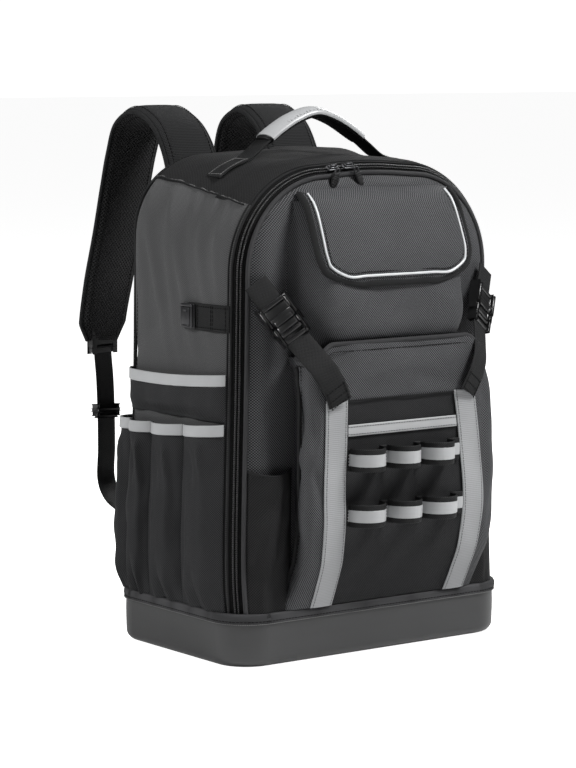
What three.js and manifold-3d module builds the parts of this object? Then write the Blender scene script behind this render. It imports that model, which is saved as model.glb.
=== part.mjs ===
// A tool backpack: a hollow cloth body that stands in a moulded tray, with pockets, a flap, tool
// loops, compression straps, a carry handle and padded shoulder straps.
// Millimetres. X is to the right seen from the front, the front faces -Y and Z is up. The origin
// is the centre of the tray's flat underside.
import * as THREE from "three";
import { mergeVertices } from "three/addons/utils/BufferGeometryUtils.js";
import Module from "manifold-3d";

const wasm = await Module();
wasm.setup();

// Clearance and cloth
const gap = 0.3;
const cloth = 2.2;
const padding = 12;

// Moulded tray and the tape that binds the cloth to it
const tray = { width: 340, depth: 218, height: 50.8, corner: 38.6, wall: 3, floor: 4, edge: 9 };
const binding = { high: 10.6, thick: 2, lip: 1.6 };

// Cloth body
const body = { width: 320, depth: 200, top: 486, rise: 5, crown: 3, frontEdge: 38, backEdge: 36 };
const arch = { front: 106, back: 78 };
const zip = { back: 13, tape: 9, stand: 1.2, foot: 60, closed: -31 };
const slider = { long: 14, wide: 9, high: 5, x: 19, bail: 1.8 };
const pull = { long: 20, wide: 8, thick: 2, splay: 22, clear: 3.2 };

// Upper pocket with its flap, and the big lower pocket
const upper = { frontHalf: 83, rootHalf: 104, deep: 43, high: 446, low: 303, corner: 18 };
const flap = { half: 94, high: 456, low: 368, deep: 45, corner: 34, thick: 3.2, binding: 7, piping: 3.2 };
const lower = { half: 123, lip: 311, wing: 14, lipHalf: 88, deep: 46, bend: 27, root: 24, binding: 5 };
const strip = { wide: 25, thick: 1.4, half: 83, high: 258, clear: 2 };
const crossband = { wide: 10, thick: 1.2, z: 228 };
const loops = { wide: 21, thick: 1.6, bulge: 22, upperZ: 200, lowerZ: 146 };
const stash = { high: 190, bulge: 12, inner: 96 };

// Left side: tool pockets, their bands and the tape band
const side = { front: -78, back: 108, high: 233, drop: 9, bulge: 14 };
const sideUpper = { high: 281, drop: 6, bulge: 7, back: 90 };
const band = { wide: 10, thick: 1.2 };
const tapeBand = { front: -80, back: -12, z: 335, wide: 24, thick: 1.8 };
const clip = { wide: 20, high: 24, thick: 3.5, tongue: 3 };

// Webbing, buckles, handle and shoulder straps
const webbing = { wide: 25, thick: 2 };
const buckle = { long: 38, wide: 34, thick: 9 };
const handle = { foot: 120, leave: 82, rise: 42, grip: 60, gripWide: 28, gripThick: 11 };
const strap = { wide: 64, thick: 14, x: 65 };
const adjuster = { wide: 33, high: 16, thick: 9, z: 212 };
const sternum = { wide: 20, thick: 1.8, z: 388, buckleLong: 46, buckleWide: 26, buckleThick: 8 };
const backPanel = { half: 118, low: 70, high: 420 };

// Side of the body from the tray (up 0) to where the arch begins (up 1): toward 0 is the foot in
// the tray, toward 1 the full body
const bodyRise = [
  { up: 0.0, wide: 0.0, deep: 0.0 },
  { up: 0.1, wide: -0.1, deep: 0.45 },
  { up: 0.35, wide: 0.25, deep: 0.9 },
  { up: 0.7, wide: 0.75, deep: 1.0 },
  { up: 1.0, wide: 1.0, deep: 1.0 },
];

// Upper pocket from its floor to its mouth: shares of its depth and of its half width at the panel
const upperRise = [
  { up: 0.0, deep: 0.1, root: 0.82 },
  { up: 0.02, deep: 0.55, root: 0.84 },
  { up: 0.08, deep: 0.9, root: 0.88 },
  { up: 0.2, deep: 1.0, root: 0.98 },
  { up: 0.45, deep: 0.97, root: 1.0 },
  { up: 0.8, deep: 0.62, root: 1.0 },
  { up: 1.0, deep: 0.26, root: 0.97 },
];

// Flap from its seam on the panel (down 0) to its lower edge, as shares of its depth
const flapFall = [
  { down: 0.0, deep: 0.1 },
  { down: 0.07, deep: 0.3 },
  { down: 0.16, deep: 0.46 },
  { down: 0.45, deep: 0.72 },
  { down: 0.75, deep: 0.92 },
  { down: 1.0, deep: 1.0 },
];

// Lower pocket from the tray to its lip: shares of its depth and half width, how far its sides tuck
// in at the panel, and how far the full pocket leans to the right, as a share of its half width
const lowerRise = [
  { up: 0.0, deep: 0.26, wide: 0.98, tuck: 0.1, lean: 0.03 },
  { up: 0.08, deep: 0.5, wide: 1.0, tuck: 0.5, lean: 0.05 },
  { up: 0.2, deep: 0.8, wide: 1.02, tuck: 0.9, lean: 0.075 },
  { up: 0.38, deep: 0.98, wide: 1.02, tuck: 1.0, lean: 0.075 },
  { up: 0.75, deep: 1.0, wide: 0.99, tuck: 1.0, lean: 0.05 },
  { up: 0.92, deep: 0.98, wide: 0.93, tuck: 0.5, lean: 0.02 },
  { up: 1.0, deep: 0.97, wide: 0.9, tuck: 0.2, lean: 0.0 },
];

// Reflective strips from the tray to their tops: how far apart and how far they lean to the right,
// as shares of half the distance between them
const stripRise = [
  { up: 0.0, apart: 1.0, lean: 0.12 },
  { up: 0.5, apart: 1.04, lean: 0.06 },
  { up: 0.75, apart: 1.0, lean: 0.03 },
  { up: 1.0, apart: 0.95, lean: -0.01 },
];

// Tool pockets along the left side: where each ends and how far it stands out, as shares
const toolPockets = [
  { name: "tool_pocket_1", from: 0.0, to: 0.335, out: 1.0 },
  { name: "tool_pocket_2", from: 0.335, to: 0.63, out: 1.05 },
  { name: "tool_pocket_3", from: 0.63, to: 0.83, out: 0.95 },
  { name: "tool_pocket_4", from: 0.83, to: 1.0, out: 1.15 },
];

// How far a tool pocket stands out, from the tray to its mouth
const pocketRise = [
  { up: 0.0, out: 0.15 },
  { up: 0.15, out: 0.75 },
  { up: 0.45, out: 1.0 },
  { up: 0.8, out: 0.75 },
  { up: 1.0, out: 0.7 },
];

// Tool loops on the lower pocket: ends as shares of the way between the two strips
const loopSpans = [
  { from: 0.01, to: 0.28 },
  { from: 0.34, to: 0.59 },
  { from: 0.64, to: 0.9 },
];

// Compression strap from the buckle over the shoulder of the lower pocket to the strip's top
const tailRoute = [
  { x: 106, y: -138, z: 305 },
  { x: 96, y: -150, z: 288 },
  { x: 86, y: -153.5, z: 270 },
  { x: 79, y: -152, z: 256 },
];

// Shoulder strap from its seam on the back over the crest to its lower end
const strapRoute = [
  { out: 0, y: 109, z: 424, wide: 1.0, thick: 0.75, yaw: 0 },
  { out: 0, y: 111, z: 462, wide: 1.0, thick: 0.8, yaw: 0 },
  { out: 0, y: 125, z: 494, wide: 1.0, thick: 0.9, yaw: 2 },
  { out: 1, y: 145, z: 516, wide: 1.0, thick: 1, yaw: 4 },
  { out: 3, y: 175, z: 527, wide: 1.0, thick: 1, yaw: 4 },
  { out: 4, y: 205, z: 514, wide: 0.99, thick: 1, yaw: 4 },
  { out: 5, y: 219, z: 484, wide: 0.98, thick: 1, yaw: 4 },
  { out: 8, y: 226, z: 450, wide: 0.97, thick: 1, yaw: 4 },
  { out: 13, y: 234, z: 400, wide: 0.96, thick: 1, yaw: 4 },
  { out: 20, y: 241, z: 350, wide: 0.95, thick: 1, yaw: 4 },
  { out: 26, y: 245, z: 304, wide: 0.9, thick: 1, yaw: 4 },
  { out: 27, y: 245, z: 286, wide: 0.6, thick: 0.8, yaw: 4 },
];

// Webbing from the end of the shoulder strap, through the adjuster, to the foot of the back
const lowerRoute = [
  { out: 26, y: 245, z: 300 },
  { out: 26, y: 245, z: 276 },
  { out: 26, y: 241, z: 245 },
  { out: 28, y: 236, z: 212 },
  { out: 29, y: 234, z: 172 },
  { out: 31, y: 232, z: 140 },
  { out: 34, y: 214, z: 122 },
  { out: 39, y: 160, z: 108 },
  { out: 42, y: 104, z: 96 },
];

const colours = {
  cloth: [0x2b2c2e, 0.85, 0], trim: [0x18191b, 0.8, 0], webbing: [0x1b1c1e, 0.8, 0],
  reflective: [0xa8abae, 0.45, 0], tray: [0x2c2d30, 0.55, 0], plastic: [0x111214, 0.3, 0],
  metal: [0x17181a, 0.35, 0.8], mesh: [0x161719, 0.9, 0], zip: [0x1c1d1f, 0.6, 0],
};

// Number helpers

const mix = (a, b, t) => a + (b - a) * t;
const clamp = (t) => Math.min(1, Math.max(0, t));
const smooth = (t) => clamp(t) ** 2 * (3 - 2 * clamp(t));
const vec = (x, y, z) => new THREE.Vector3(x, y, z);

// The value of a column at a place in a table, between its rows
function read(table, key, column, at) {
  const last = table.length - 2;
  let row = table.findIndex((entry, i) => i > 0 && at <= entry[key]) - 1;
  row = row < 0 ? (at <= table[0][key] ? 0 : last) : row;
  const [a, b] = [table[row], table[row + 1]];
  return mix(a[column], b[column], clamp((at - a[key]) / (b[key] - a[key])));
}

// Mesh helpers

function finishGeometry(points, faces) {
  let volume = 0;
  for (const [a, b, c] of faces) {
    volume += points[a].dot(points[b].clone().cross(points[c]));
  }
  const index = faces.flatMap(([a, b, c]) => (volume > 0 ? [a, b, c] : [a, c, b]));
  const geometry = new THREE.BufferGeometry().setFromPoints(points);
  geometry.setIndex(index);
  return geometry;
}

// Closed body between an outer and an inner grid of points
function closeGrids(outer, inner) {
  const nu = outer.length - 1;
  const nv = outer[0].length - 1;
  const points = [...outer.flat(), ...inner.flat()];
  const at = (side, i, j) => side * (nu + 1) * (nv + 1) + i * (nv + 1) + j;
  const faces = [];
  const quad = (a, b, c, d) => faces.push([a, b, c], [a, c, d]);
  for (let i = 0; i < nu; i++) {
    for (let j = 0; j < nv; j++) {
      quad(at(0, i, j), at(0, i + 1, j), at(0, i + 1, j + 1), at(0, i, j + 1));
      quad(at(1, i, j), at(1, i, j + 1), at(1, i + 1, j + 1), at(1, i + 1, j));
    }
    quad(at(0, i, 0), at(1, i, 0), at(1, i + 1, 0), at(0, i + 1, 0));
    quad(at(0, i, nv), at(0, i + 1, nv), at(1, i + 1, nv), at(1, i, nv));
  }
  for (let j = 0; j < nv; j++) {
    quad(at(0, 0, j), at(0, 0, j + 1), at(1, 0, j + 1), at(1, 0, j));
    quad(at(0, nu, j), at(1, nu, j), at(1, nu, j + 1), at(0, nu, j + 1));
  }
  return finishGeometry(points, faces);
}

// Closed body between two faces given by rows of u and v
function patch(us, vs, outer, inner) {
  const grid = (place) => us.map((u) => vs.map((v) => place(u, v)));
  return closeGrids(grid(outer), grid(inner));
}

const steps = (count) => Array.from({ length: count + 1 }, (_, i) => i / count);

// Sheet of cloth: its outer face is at(u, v), and grow adds a clearance all round
function sheet({ nu, nv, at, thick, us, vs, facing = 1, under = 0 }, grow = 0) {
  const spanU = at(1, 0.5).distanceTo(at(0, 0.5));
  const spanV = at(0.5, 1).distanceTo(at(0.5, 0));
  const step = 1e-3;
  const stretch = (t, span) => mix(-grow / span, 1 + grow / span, t);
  const grid = (outward) => Array.from({ length: nu + 1 }, (_, i) =>
    Array.from({ length: nv + 1 }, (_, j) => {
      const u = stretch(us ? us[i] : i / nu, spanU);
      const v = stretch(vs ? vs[j] : j / nv, spanV);
      const du = at(u + step, v).sub(at(u - step, v));
      const dv = at(u, v + step).sub(at(u, v - step));
      return at(u, v).addScaledVector(du.cross(dv).normalize(), facing * outward);
    }));
  return closeGrids(grid(grow), grid(-thick - under - grow));
}

// Loft through rings of equal length, closed by a fan at each end or into a loop
function loft(rings, loop = false) {
  const n = rings[0].length;
  const points = rings.flat();
  const faces = [];
  const spans = loop ? rings.length : rings.length - 1;
  for (let k = 0; k < spans; k++) {
    const [p, q] = [k * n, ((k + 1) % rings.length) * n];
    for (let i = 0; i < n; i++) {
      const j = (i + 1) % n;
      faces.push([p + i, p + j, q + j], [p + i, q + j, q + i]);
    }
  }
  if (!loop) {
    for (const [start, turn] of [[0, -1], [(rings.length - 1) * n, 1]]) {
      const middle = points.slice(start, start + n)
        .reduce((sum, p) => sum.add(p), vec(0, 0, 0)).divideScalar(n);
      points.push(middle);
      for (let i = 0; i < n; i++) {
        const pair = [start + i, start + (i + 1) % n];
        faces.push([points.length - 1, ...(turn > 0 ? pair : pair.reverse())]);
      }
    }
  }
  return finishGeometry(points, faces);
}

// Section swept along a path; section(t) lists [across, out] and across(t) is its wide direction
function sweep(path, across, section, loop = false) {
  const count = path.length;
  const rings = path.map((point, k) => {
    const before = path[loop ? (k + count - 1) % count : Math.max(0, k - 1)];
    const after = path[loop ? (k + 1) % count : Math.min(count - 1, k + 1)];
    const along = after.clone().sub(before).normalize();
    const wide = across(k / (count - 1), along).clone();
    wide.addScaledVector(along, -wide.dot(along)).normalize();
    const out = along.clone().cross(wide);
    return section(k / (count - 1)).map(([a, b]) =>
      point.clone().addScaledVector(wide, a).addScaledVector(out, b));
  });
  return loft(rings, loop);
}

const flatSection = (wide, thick) => [
  [-wide / 2, -thick / 2], [wide / 2, -thick / 2], [wide / 2, thick / 2], [-wide / 2, thick / 2],
];

function roundSection(wide, thick, sides = 8) {
  return Array.from({ length: sides }, (_, i) => {
    const angle = 2 * Math.PI * (i + 0.5) / sides;
    return [Math.cos(angle) * wide / 2, Math.sin(angle) * thick / 2];
  });
}

const curve = (points, count) => new THREE.CatmullRomCurve3(points).getPoints(count);

function toSolid(geometry) {
  const bare = geometry.clone();
  bare.deleteAttribute("normal");
  bare.deleteAttribute("uv");
  const merged = mergeVertices(bare, 1e-4);
  return new wasm.Manifold(new wasm.Mesh({
    numProp: 3,
    vertProperties: Float32Array.from(merged.attributes.position.array),
    triVerts: Uint32Array.from(merged.index.array),
  }));
}

function toGeometry(solid) {
  const mesh = solid.getMesh();
  const geometry = new THREE.BufferGeometry();
  geometry.setAttribute("position", new THREE.BufferAttribute(Float32Array.from(mesh.vertProperties), 3));
  geometry.setIndex(Array.from(mesh.triVerts));
  return geometry;
}

// The largest piece that is left of a shape once the cutters are taken out of it
function cut(geometry, ...cutters) {
  const solid = cutters.reduce((rest, cutter) => rest.subtract(toSolid(cutter)), toSolid(geometry));
  return toGeometry(solid.decompose().sort((a, b) => b.volume() - a.volume())[0]);
}

const keep = (geometry, other) => toGeometry(toSolid(geometry).intersect(toSolid(other)));
const join = (a, b) => toGeometry(toSolid(a).add(toSolid(b)));

function block(low, high) {
  const size = high.map((value, i) => value - low[i]);
  const shape = new THREE.BoxGeometry(...size);
  shape.translate(...low.map((value, i) => value + size[i] / 2));
  return shape;
}

// A copy on the other side of the middle plane
function mirrored(geometry) {
  const copy = geometry.clone().scale(-1, 1, 1);
  const index = Array.from(copy.index.array);
  for (let i = 0; i < index.length; i += 3) {
    [index[i + 1], index[i + 2]] = [index[i + 2], index[i + 1]];
  }
  copy.setIndex(index);
  return copy;
}

// Tray and binding

function roundedRing(halfX, halfY, corner, z, turns = 5) {
  const ring = [];
  for (const [sx, sy, start] of [[1, 1, 0], [-1, 1, 90], [-1, -1, 180], [1, -1, 270]]) {
    for (let i = 0; i <= turns; i++) {
      const angle = THREE.MathUtils.degToRad(start + 90 * i / turns);
      ring.push(vec(sx * (halfX - corner) + corner * Math.cos(angle),
        sy * (halfY - corner) + corner * Math.sin(angle), z));
    }
  }
  return ring;
}

const trayRing = (out, z) =>
  roundedRing(tray.width / 2 + out, tray.depth / 2 + out, tray.corner + out, z);

function trayGeometry() {
  const edgeSteps = 3;
  const outer = Array.from({ length: edgeSteps + 1 }, (_, i) => {
    const angle = Math.PI / 2 * i / edgeSteps;
    return trayRing(-tray.edge * (1 - Math.sin(angle)), tray.edge * (1 - Math.cos(angle)));
  });
  const rings = [...outer, trayRing(0, tray.height), trayRing(-tray.wall, tray.height),
    trayRing(-tray.wall, tray.floor)];
  return loft(rings);
}

const bindingTop = tray.height + gap + binding.lip;
const mouthFoot = bindingTop + gap;

function bindingGeometry() {
  const outside = gap + binding.thick;
  const low = bindingTop - binding.high;
  const lipLow = tray.height + gap;
  return loft([trayRing(gap, low), trayRing(outside, low), trayRing(outside, bindingTop),
    trayRing(-tray.wall, bindingTop), trayRing(-tray.wall, lipLow), trayRing(gap, lipLow)], true);
}

// Body: side heights, half sizes and the arch over the top

const floorZ = tray.floor + gap;
const footHalf = { x: tray.width / 2 - tray.wall - gap, y: tray.depth / 2 - tray.wall - gap };
const backY = body.depth / 2;
const zipY = zip.back - backY;
const archStart = body.top - body.crown - arch.front;

function bodySize(z) {
  const up = (z - bindingTop) / (archStart - bindingTop);
  return {
    half: mix(footHalf.x, body.width / 2, read(bodyRise, "up", "wide", up)),
    deep: mix(footHalf.y / backY, 1, read(bodyRise, "up", "deep", up)),
  };
}

const bodySides = [bindingTop, ...bodyRise.slice(1).map((row) => mix(bindingTop, archStart, row.up))];

// Half outline of the arch at depth y, pulled in by inset, from its foot to the middle of the top
function archOutline(y, inset, floorInset) {
  const back = smooth((y - zipY) / (backY - zipY)) ** 1.6;
  const radius = mix(arch.front, arch.back, back);
  const top = body.top + body.rise * back - body.crown;
  const outline = [[bodySize(floorZ).half - inset, floorZ + floorInset]];
  for (const z of bodySides.slice(0, -1)) {
    outline.push([bodySize(z).half - inset, z]);
  }
  const archSteps = 6;
  const topSteps = 2;
  for (let i = 0; i <= archSteps; i++) {
    const angle = Math.PI / 2 * i / archSteps;
    const x = body.width / 2 - radius + (radius - inset) * Math.cos(angle);
    outline.push([x, top - radius + (radius - inset) * Math.sin(angle)]);
  }
  const flatHalf = body.width / 2 - radius;
  for (let i = 1; i <= topSteps; i++) {
    const share = i / topSteps;
    outline.push([flatHalf * (1 - share), top - inset + body.crown * Math.sin(share * Math.PI / 2)]);
  }
  return outline;
}

// Height of the arch's top at a distance x from its middle
function topAt(outline, x) {
  const i = outline.findIndex(([edge, z], k) => k > 0 && edge <= x && z > archStart);
  const [[x0, z0], [x1, z1]] = [outline[i - 1], outline[i]];
  return mix(z0, z1, (x0 - x) / (x0 - x1));
}

function bodyRing(y, inset, floorInset) {
  const half = archOutline(y, inset, floorInset);
  const place = ([x, z]) => vec(x, y * bodySize(z).deep, z);
  const right = half.map(place);
  const left = half.slice(0, -1).reverse().map(([x, z]) => place([-x, z]));
  return [...right, ...left];
}

// Closed form of the whole body, with every wall moved in by inset
function bodyForm(inset) {
  const edge = (radius, start, turn, steps) => Array.from({ length: steps + 1 }, (_, i) => {
    const angle = Math.PI / 2 * i / steps;
    const y = start + turn * (radius - (radius - inset) * Math.cos(angle));
    return bodyRing(y, radius - (radius - inset) * Math.sin(angle), inset);
  });
  const front = edge(body.frontEdge, -backY, 1, 4);
  const back = edge(body.backEdge, backY, -1, 3).reverse();
  const middle = [0.33, 0.67].map((share) =>
    bodyRing(mix(-backY + body.frontEdge, backY - body.backEdge, share), inset, inset));
  return loft([...front, ...middle, ...back]);
}

// Point on the left side, t along it from its middle towards the back, round both corners
function onSide(t, z, out) {
  const { half, deep } = bodySize(z);
  const corner = (radius, sign, past) => {
    const angle = Math.min(past / radius, Math.PI / 2);
    const beyond = Math.max(0, past - radius * Math.PI / 2);
    return [-half + radius - (radius + out) * Math.cos(angle) + beyond,
      sign * (backY - radius + (radius + out) * Math.sin(angle))];
  };
  const frontPast = -backY + body.frontEdge - t;
  const backPast = t - (backY - body.backEdge);
  let [x, y] = [-half - out, t];
  if (frontPast > 0) {
    [x, y] = corner(body.frontEdge, -1, frontPast);
  } else if (backPast > 0) {
    [x, y] = corner(body.backEdge, 1, backPast);
  }
  return vec(x, y * deep, z);
}

const skin = (out, inside) =>
  toGeometry(toSolid(bodyForm(-out)).subtract(toSolid(bodyForm(inside))));
const far = 900;
const zipHalf = zip.tape / 2;
const ahead = (y, foot) => block([-far, -far, foot], [far, y, far]);
const bodyClear = bodyForm(-gap);

function mainBodyGeometry() {
  return cut(skin(0, cloth), ahead(zipY + zipHalf + gap, zip.foot));
}

function frontPanelGeometry() {
  return keep(skin(0, cloth), ahead(zipY - zipHalf - gap, zip.foot + gap));
}

function mainZipGeometry() {
  return keep(skin(zip.stand, cloth - 0.6), block([-far, zipY - zipHalf, zip.foot + gap],
    [far, zipY + zipHalf, far]));
}

// Sliders stand on the coil at the top of the zip; each pull hangs from its slider's bail
const zipOutline = archOutline(zipY, 0, 0);
const edgeIn = body.frontEdge * (1 - Math.SQRT1_2);

function sliderFoot(sign) {
  const x = zip.closed + sign * slider.x / 2;
  return vec(x, -backY + edgeIn, topAt(zipOutline, Math.abs(x)) - edgeIn);
}

function sliderGeometry(sign) {
  const base = new THREE.Shape([[-1, -0.6], [1, -1], [1, 1], [-1, 0.6]].map(([a, b]) =>
    new THREE.Vector2(sign * a * slider.long / 2, b * slider.wide / 2)));
  const plate = new THREE.ExtrudeGeometry(base, { depth: slider.high * 0.45, bevelEnabled: false });
  const ring = new THREE.TorusGeometry(slider.high * 0.5, slider.bail / 2, 4, 8);
  ring.rotateX(Math.PI / 2).translate(0, 0, slider.high * 0.5);
  const whole = join(plate, ring);
  whole.translate(0, 0, zip.stand).rotateX(Math.PI / 4).translate(...sliderFoot(sign).toArray());
  return cut(whole, skin(zip.stand + gap, 1));
}

function pullGeometry(sign) {
  const path = [0, 0.3, 1].map((share) => vec(0, -0.5 - share * 1.2, -share * pull.long));
  const tab = sweep(path, () => vec(1, 0, 0),
    (t) => flatSection(pull.wide * mix(0.6, 1, smooth(t * 2)), pull.thick));
  const past = zip.stand + slider.high;
  const hang = sliderFoot(sign).add(vec(0, -past - pull.clear, past - 2));
  return tab.rotateY(sign * -THREE.MathUtils.degToRad(pull.splay)).translate(...hang.toArray());
}

// Pockets whose plan runs from the panel round two corners: u across, v up
function pocketPlan(u, rootHalf, frontHalf, rootY, frontY, bend) {
  const corners = [vec(-rootHalf, rootY, 0), vec(-frontHalf, frontY, 0), vec(frontHalf, frontY, 0),
    vec(rootHalf, rootY, 0)];
  const path = new THREE.CurvePath();
  const backLong = corners[1].distanceTo(corners[0]);
  const before = corners[1].clone().lerp(corners[0], Math.min(0.7, bend / backLong));
  const after = corners[1].clone().lerp(corners[2], bend / corners[1].distanceTo(corners[2]));
  const flip = (p) => vec(-p.x, p.y, 0);
  path.add(new THREE.LineCurve3(corners[0], before));
  path.add(new THREE.QuadraticBezierCurve3(before, corners[1], after));
  path.add(new THREE.LineCurve3(after, flip(after)));
  path.add(new THREE.QuadraticBezierCurve3(flip(after), corners[2], flip(before)));
  path.add(new THREE.LineCurve3(flip(before), corners[3]));
  const scaled = clamp(u) * 5;
  const part = Math.min(4, Math.floor(scaled));
  const point = path.curves[part].getPoint(scaled - part);
  const over = u < 0 ? u : Math.max(0, u - 1);
  return point.add(vec(0, Math.abs(over) * 5 * corners[0].distanceTo(before), 0));
}

const planSteps = [0, 1, 1.33, 1.67, 2, 2.33, 2.67, 3, 3.33, 3.67, 4, 5].map((s) => s / 5);
const panelFront = -backY - gap;

function upperPocket(grow = 0) {
  const at = (u, v) => {
    const deep = upper.deep * read(upperRise, "up", "deep", v);
    const root = upper.rootHalf * read(upperRise, "up", "root", v);
    const point = pocketPlan(u, root, upper.frontHalf, panelFront + 4, panelFront - deep, upper.corner);
    return point.setZ(mix(upper.low, upper.high, v));
  };
  const vs = upperRise.map((row) => row.up);
  const shell = sheet({ nu: planSteps.length - 1, nv: vs.length - 1, us: planSteps, vs, at, thick: cloth },
    grow);
  return grow ? shell : cut(shell, bodyClear);
}

// Flap: a stiff padded sheet with round lower corners
function flapHalf(down) {
  const low = clamp(1 - (1 - down) * (flap.high - flap.low) / flap.corner);
  return flap.half * mix(0.98, 1, down) - flap.corner * (1 - Math.sqrt(1 - low * low * 0.9999));
}

function onFlap(across, down) {
  const wide = Math.abs(across);
  const y = panelFront - flap.deep * read(flapFall, "down", "deep", down) + 3.5 * wide ** 4;
  return vec(across * flapHalf(down), y, mix(flap.high, flap.low, down));
}

function pocketFlap(grow = 0) {
  const vs = [0, 0.07, 0.16, 0.3, 0.45, 0.6, 0.72, 0.82, 0.9, 0.96, 1];
  const us = [-1, -0.85, -0.55, -0.2, 0.2, 0.55, 0.85, 1].map((s) => (s + 1) / 2);
  return sheet({ nu: us.length - 1, nv: vs.length - 1, us, vs, thick: flap.thick, facing: -1,
    at: (u, v) => onFlap(mix(-1, 1, u), v) }, grow);
}

// Line round the flap's two sides and lower edge, inset from it
function flapEdge(inset, out, count) {
  const share = 1 - inset / flap.half;
  const low = 1 - inset / (flap.high - flap.low);
  const downs = [0.1, 0.25, 0.45, 0.65, 0.8, 0.9, 0.96].map((d) => d * low);
  const left = downs.map((d) => onFlap(-share, d));
  const base = [-0.9, -0.4, 0.4, 0.9].map((s) => onFlap(s * share, low));
  const right = downs.toReversed().map((d) => onFlap(share, d));
  return curve([...left, ...base, ...right].map((p) => p.add(vec(0, -out, 0))), count);
}

const edgeAcross = (t, along) => along.clone().cross(vec(0, -1, 0));

function flapBinding(grow = 0) {
  const path = flapEdge(0, -flap.thick / 2, 16);
  return sweep(path, edgeAcross,
    () => roundSection(flap.binding + 2 * grow, flap.thick + 3 + 2 * grow, 5));
}

function flapPiping() {
  return sweep(flapEdge(flap.binding + 1.5, 0.8, 16), edgeAcross,
    () => roundSection(flap.piping, flap.piping, 4));
}

// Lower pocket
function lowerSection(z) {
  const up = (z - bindingTop) / (lower.lip - bindingTop);
  const half = lower.half * read(lowerRise, "up", "wide", up);
  return {
    half,
    root: half - lower.root * read(lowerRise, "up", "tuck", up),
    lean: lower.half * read(lowerRise, "up", "lean", up),
    front: panelFront - lower.deep * read(lowerRise, "up", "deep", up),
  };
}

function onLower(u, v) {
  const probe = lowerSection(mix(mouthFoot, lower.lip, v));
  const flat = pocketPlan(u, probe.root, probe.half, panelFront + 4, probe.front, lower.bend);
  const drop = lower.wing * smooth((Math.abs(flat.x) - lower.lipHalf + 6) / 22);
  const z = mix(mouthFoot, lower.lip - drop, v);
  const { half, root, lean, front } = lowerSection(z);
  return pocketPlan(u, root, half, panelFront + 4, front, lower.bend).add(vec(lean, 0, z));
}

const lowerRows = [0, 0.08, 0.2, 0.38, 0.57, 0.75, 0.92, 1];

function lowerPocket(grow = 0) {
  const shell = sheet({ nu: planSteps.length - 1, nv: lowerRows.length - 1, us: planSteps, vs: lowerRows,
    at: onLower, thick: cloth }, grow);
  return grow ? shell : cut(shell, bodyClear);
}

const lowerClear = lowerPocket(gap);

const onBib = (x, z, out) => vec(x, lowerSection(z).front - out, z);

function stripX(sign, z) {
  const up = (z - mouthFoot) / (strip.high - mouthFoot);
  return strip.half * (sign * read(stripRise, "up", "apart", up) + read(stripRise, "up", "lean", up));
}

// Share across the free width between the two strips
function betweenStrips(share, z) {
  const inset = strip.wide / 2 + strip.clear;
  return mix(stripX(-1, z) + inset, stripX(1, z) - inset, share);
}

// Flat trim that lies on the lower pocket; its underside is cut to the pocket's own facets
function bibTrim(across, low, high, thick, columns = 2) {
  const rows = lowerRows.map((v) => mix(mouthFoot, lower.lip, v))
    .filter((z) => z > low + 2 && z < high - 2);
  const face = (lift) => (u, z) => onBib(across(u, z), z, lift);
  const trim = patch(steps(columns), [low, ...rows, high], face(gap + thick), face(-cloth / 2));
  return cut(trim, lowerClear);
}

const stripGeometry = (sign) => bibTrim((u, z) => stripX(sign, z) + strip.wide * (u - 0.5),
  mouthFoot, strip.high, strip.thick);

const crossbandGeometry = () => bibTrim(betweenStrips, crossband.z - crossband.wide / 2,
  crossband.z + crossband.wide / 2, crossband.thick, 4);

// Elastic webbing sewn down between three loops
function toolLoops(z) {
  const us = [0, ...loopSpans.flatMap(({ from, to }) =>
    [0, 0.07, 0.25, 0.5, 0.75, 0.93, 1].map((s) => mix(from, to, s))), 1];
  const bulge = (u) => {
    const loop = loopSpans.find(({ from, to }) => u > from && u < to);
    const share = loop ? (u - loop.from) / (loop.to - loop.from) : 0;
    return loops.bulge * Math.sqrt(Math.max(0, 1 - (2 * share - 1) ** 2)) * (loop ? 1 : 0);
  };
  const grid = (out) => us.map((u) => [-0.5, 0.5].map((v) => {
    const middle = loopSpans.map(({ from, to }) => (from + to) / 2)
      .reduce((best, m) => (Math.abs(m - u) < Math.abs(best - u) ? m : best));
    const inside = bulge(u) > 0 ? Math.sign(middle - u) * Math.max(0, loops.thick - out) : 0;
    return onBib(betweenStrips(u, z) + inside, z + loops.wide * v, gap + out + bulge(u));
  }));
  return cut(closeGrids(grid(loops.thick), grid(-0.6)), lowerClear);
}

// Rolled binding along the lip of the lower pocket and down its two wings
function lowerLip(grow = 0) {
  const us = [1.0, 1.35, 1.7, 2, 2.5, 3, 3.3, 3.65, 4.0].map((s) => s / 5);
  const path = us.map((u) => onLower(u, 1).add(vec(0, cloth / 2, 0.8)));
  const section = roundSection(lower.binding + 2 + 2 * grow, lower.binding + 2 * grow, 6);
  const shape = sweep(curve(path, 12), () => vec(0, 0, 1), () => section);
  return grow ? shape : cut(shape, lowerClear, upperPocket(gap));
}

// Stash pouch between the zip and the lower pocket
function stashPouch() {
  const cornerArc = body.frontEdge * Math.PI / 2;
  const start = -backY + body.frontEdge - cornerArc * 0.5 - zipHalf * Math.SQRT2 - 2;
  const end = -backY + body.frontEdge - cornerArc - (body.width / 2 - body.frontEdge - stash.inner);
  const face = (inset, lift) => (u, v) => {
    const full = Math.sin(Math.PI * u) * smooth(v * 1.6) * stash.bulge;
    const z = mix(mouthFoot, stash.high - 5 * Math.sin(Math.PI * u), v);
    return onSide(mix(start - inset, end + inset, u), z, lift + full);
  };
  return patch(steps(7), steps(6), face(0, gap + cloth), face(cloth, gap));
}

// Left side pockets

const sideTop = (share, high, drop) => high - drop * share - 2.5 * Math.sin(Math.PI * share);

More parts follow.
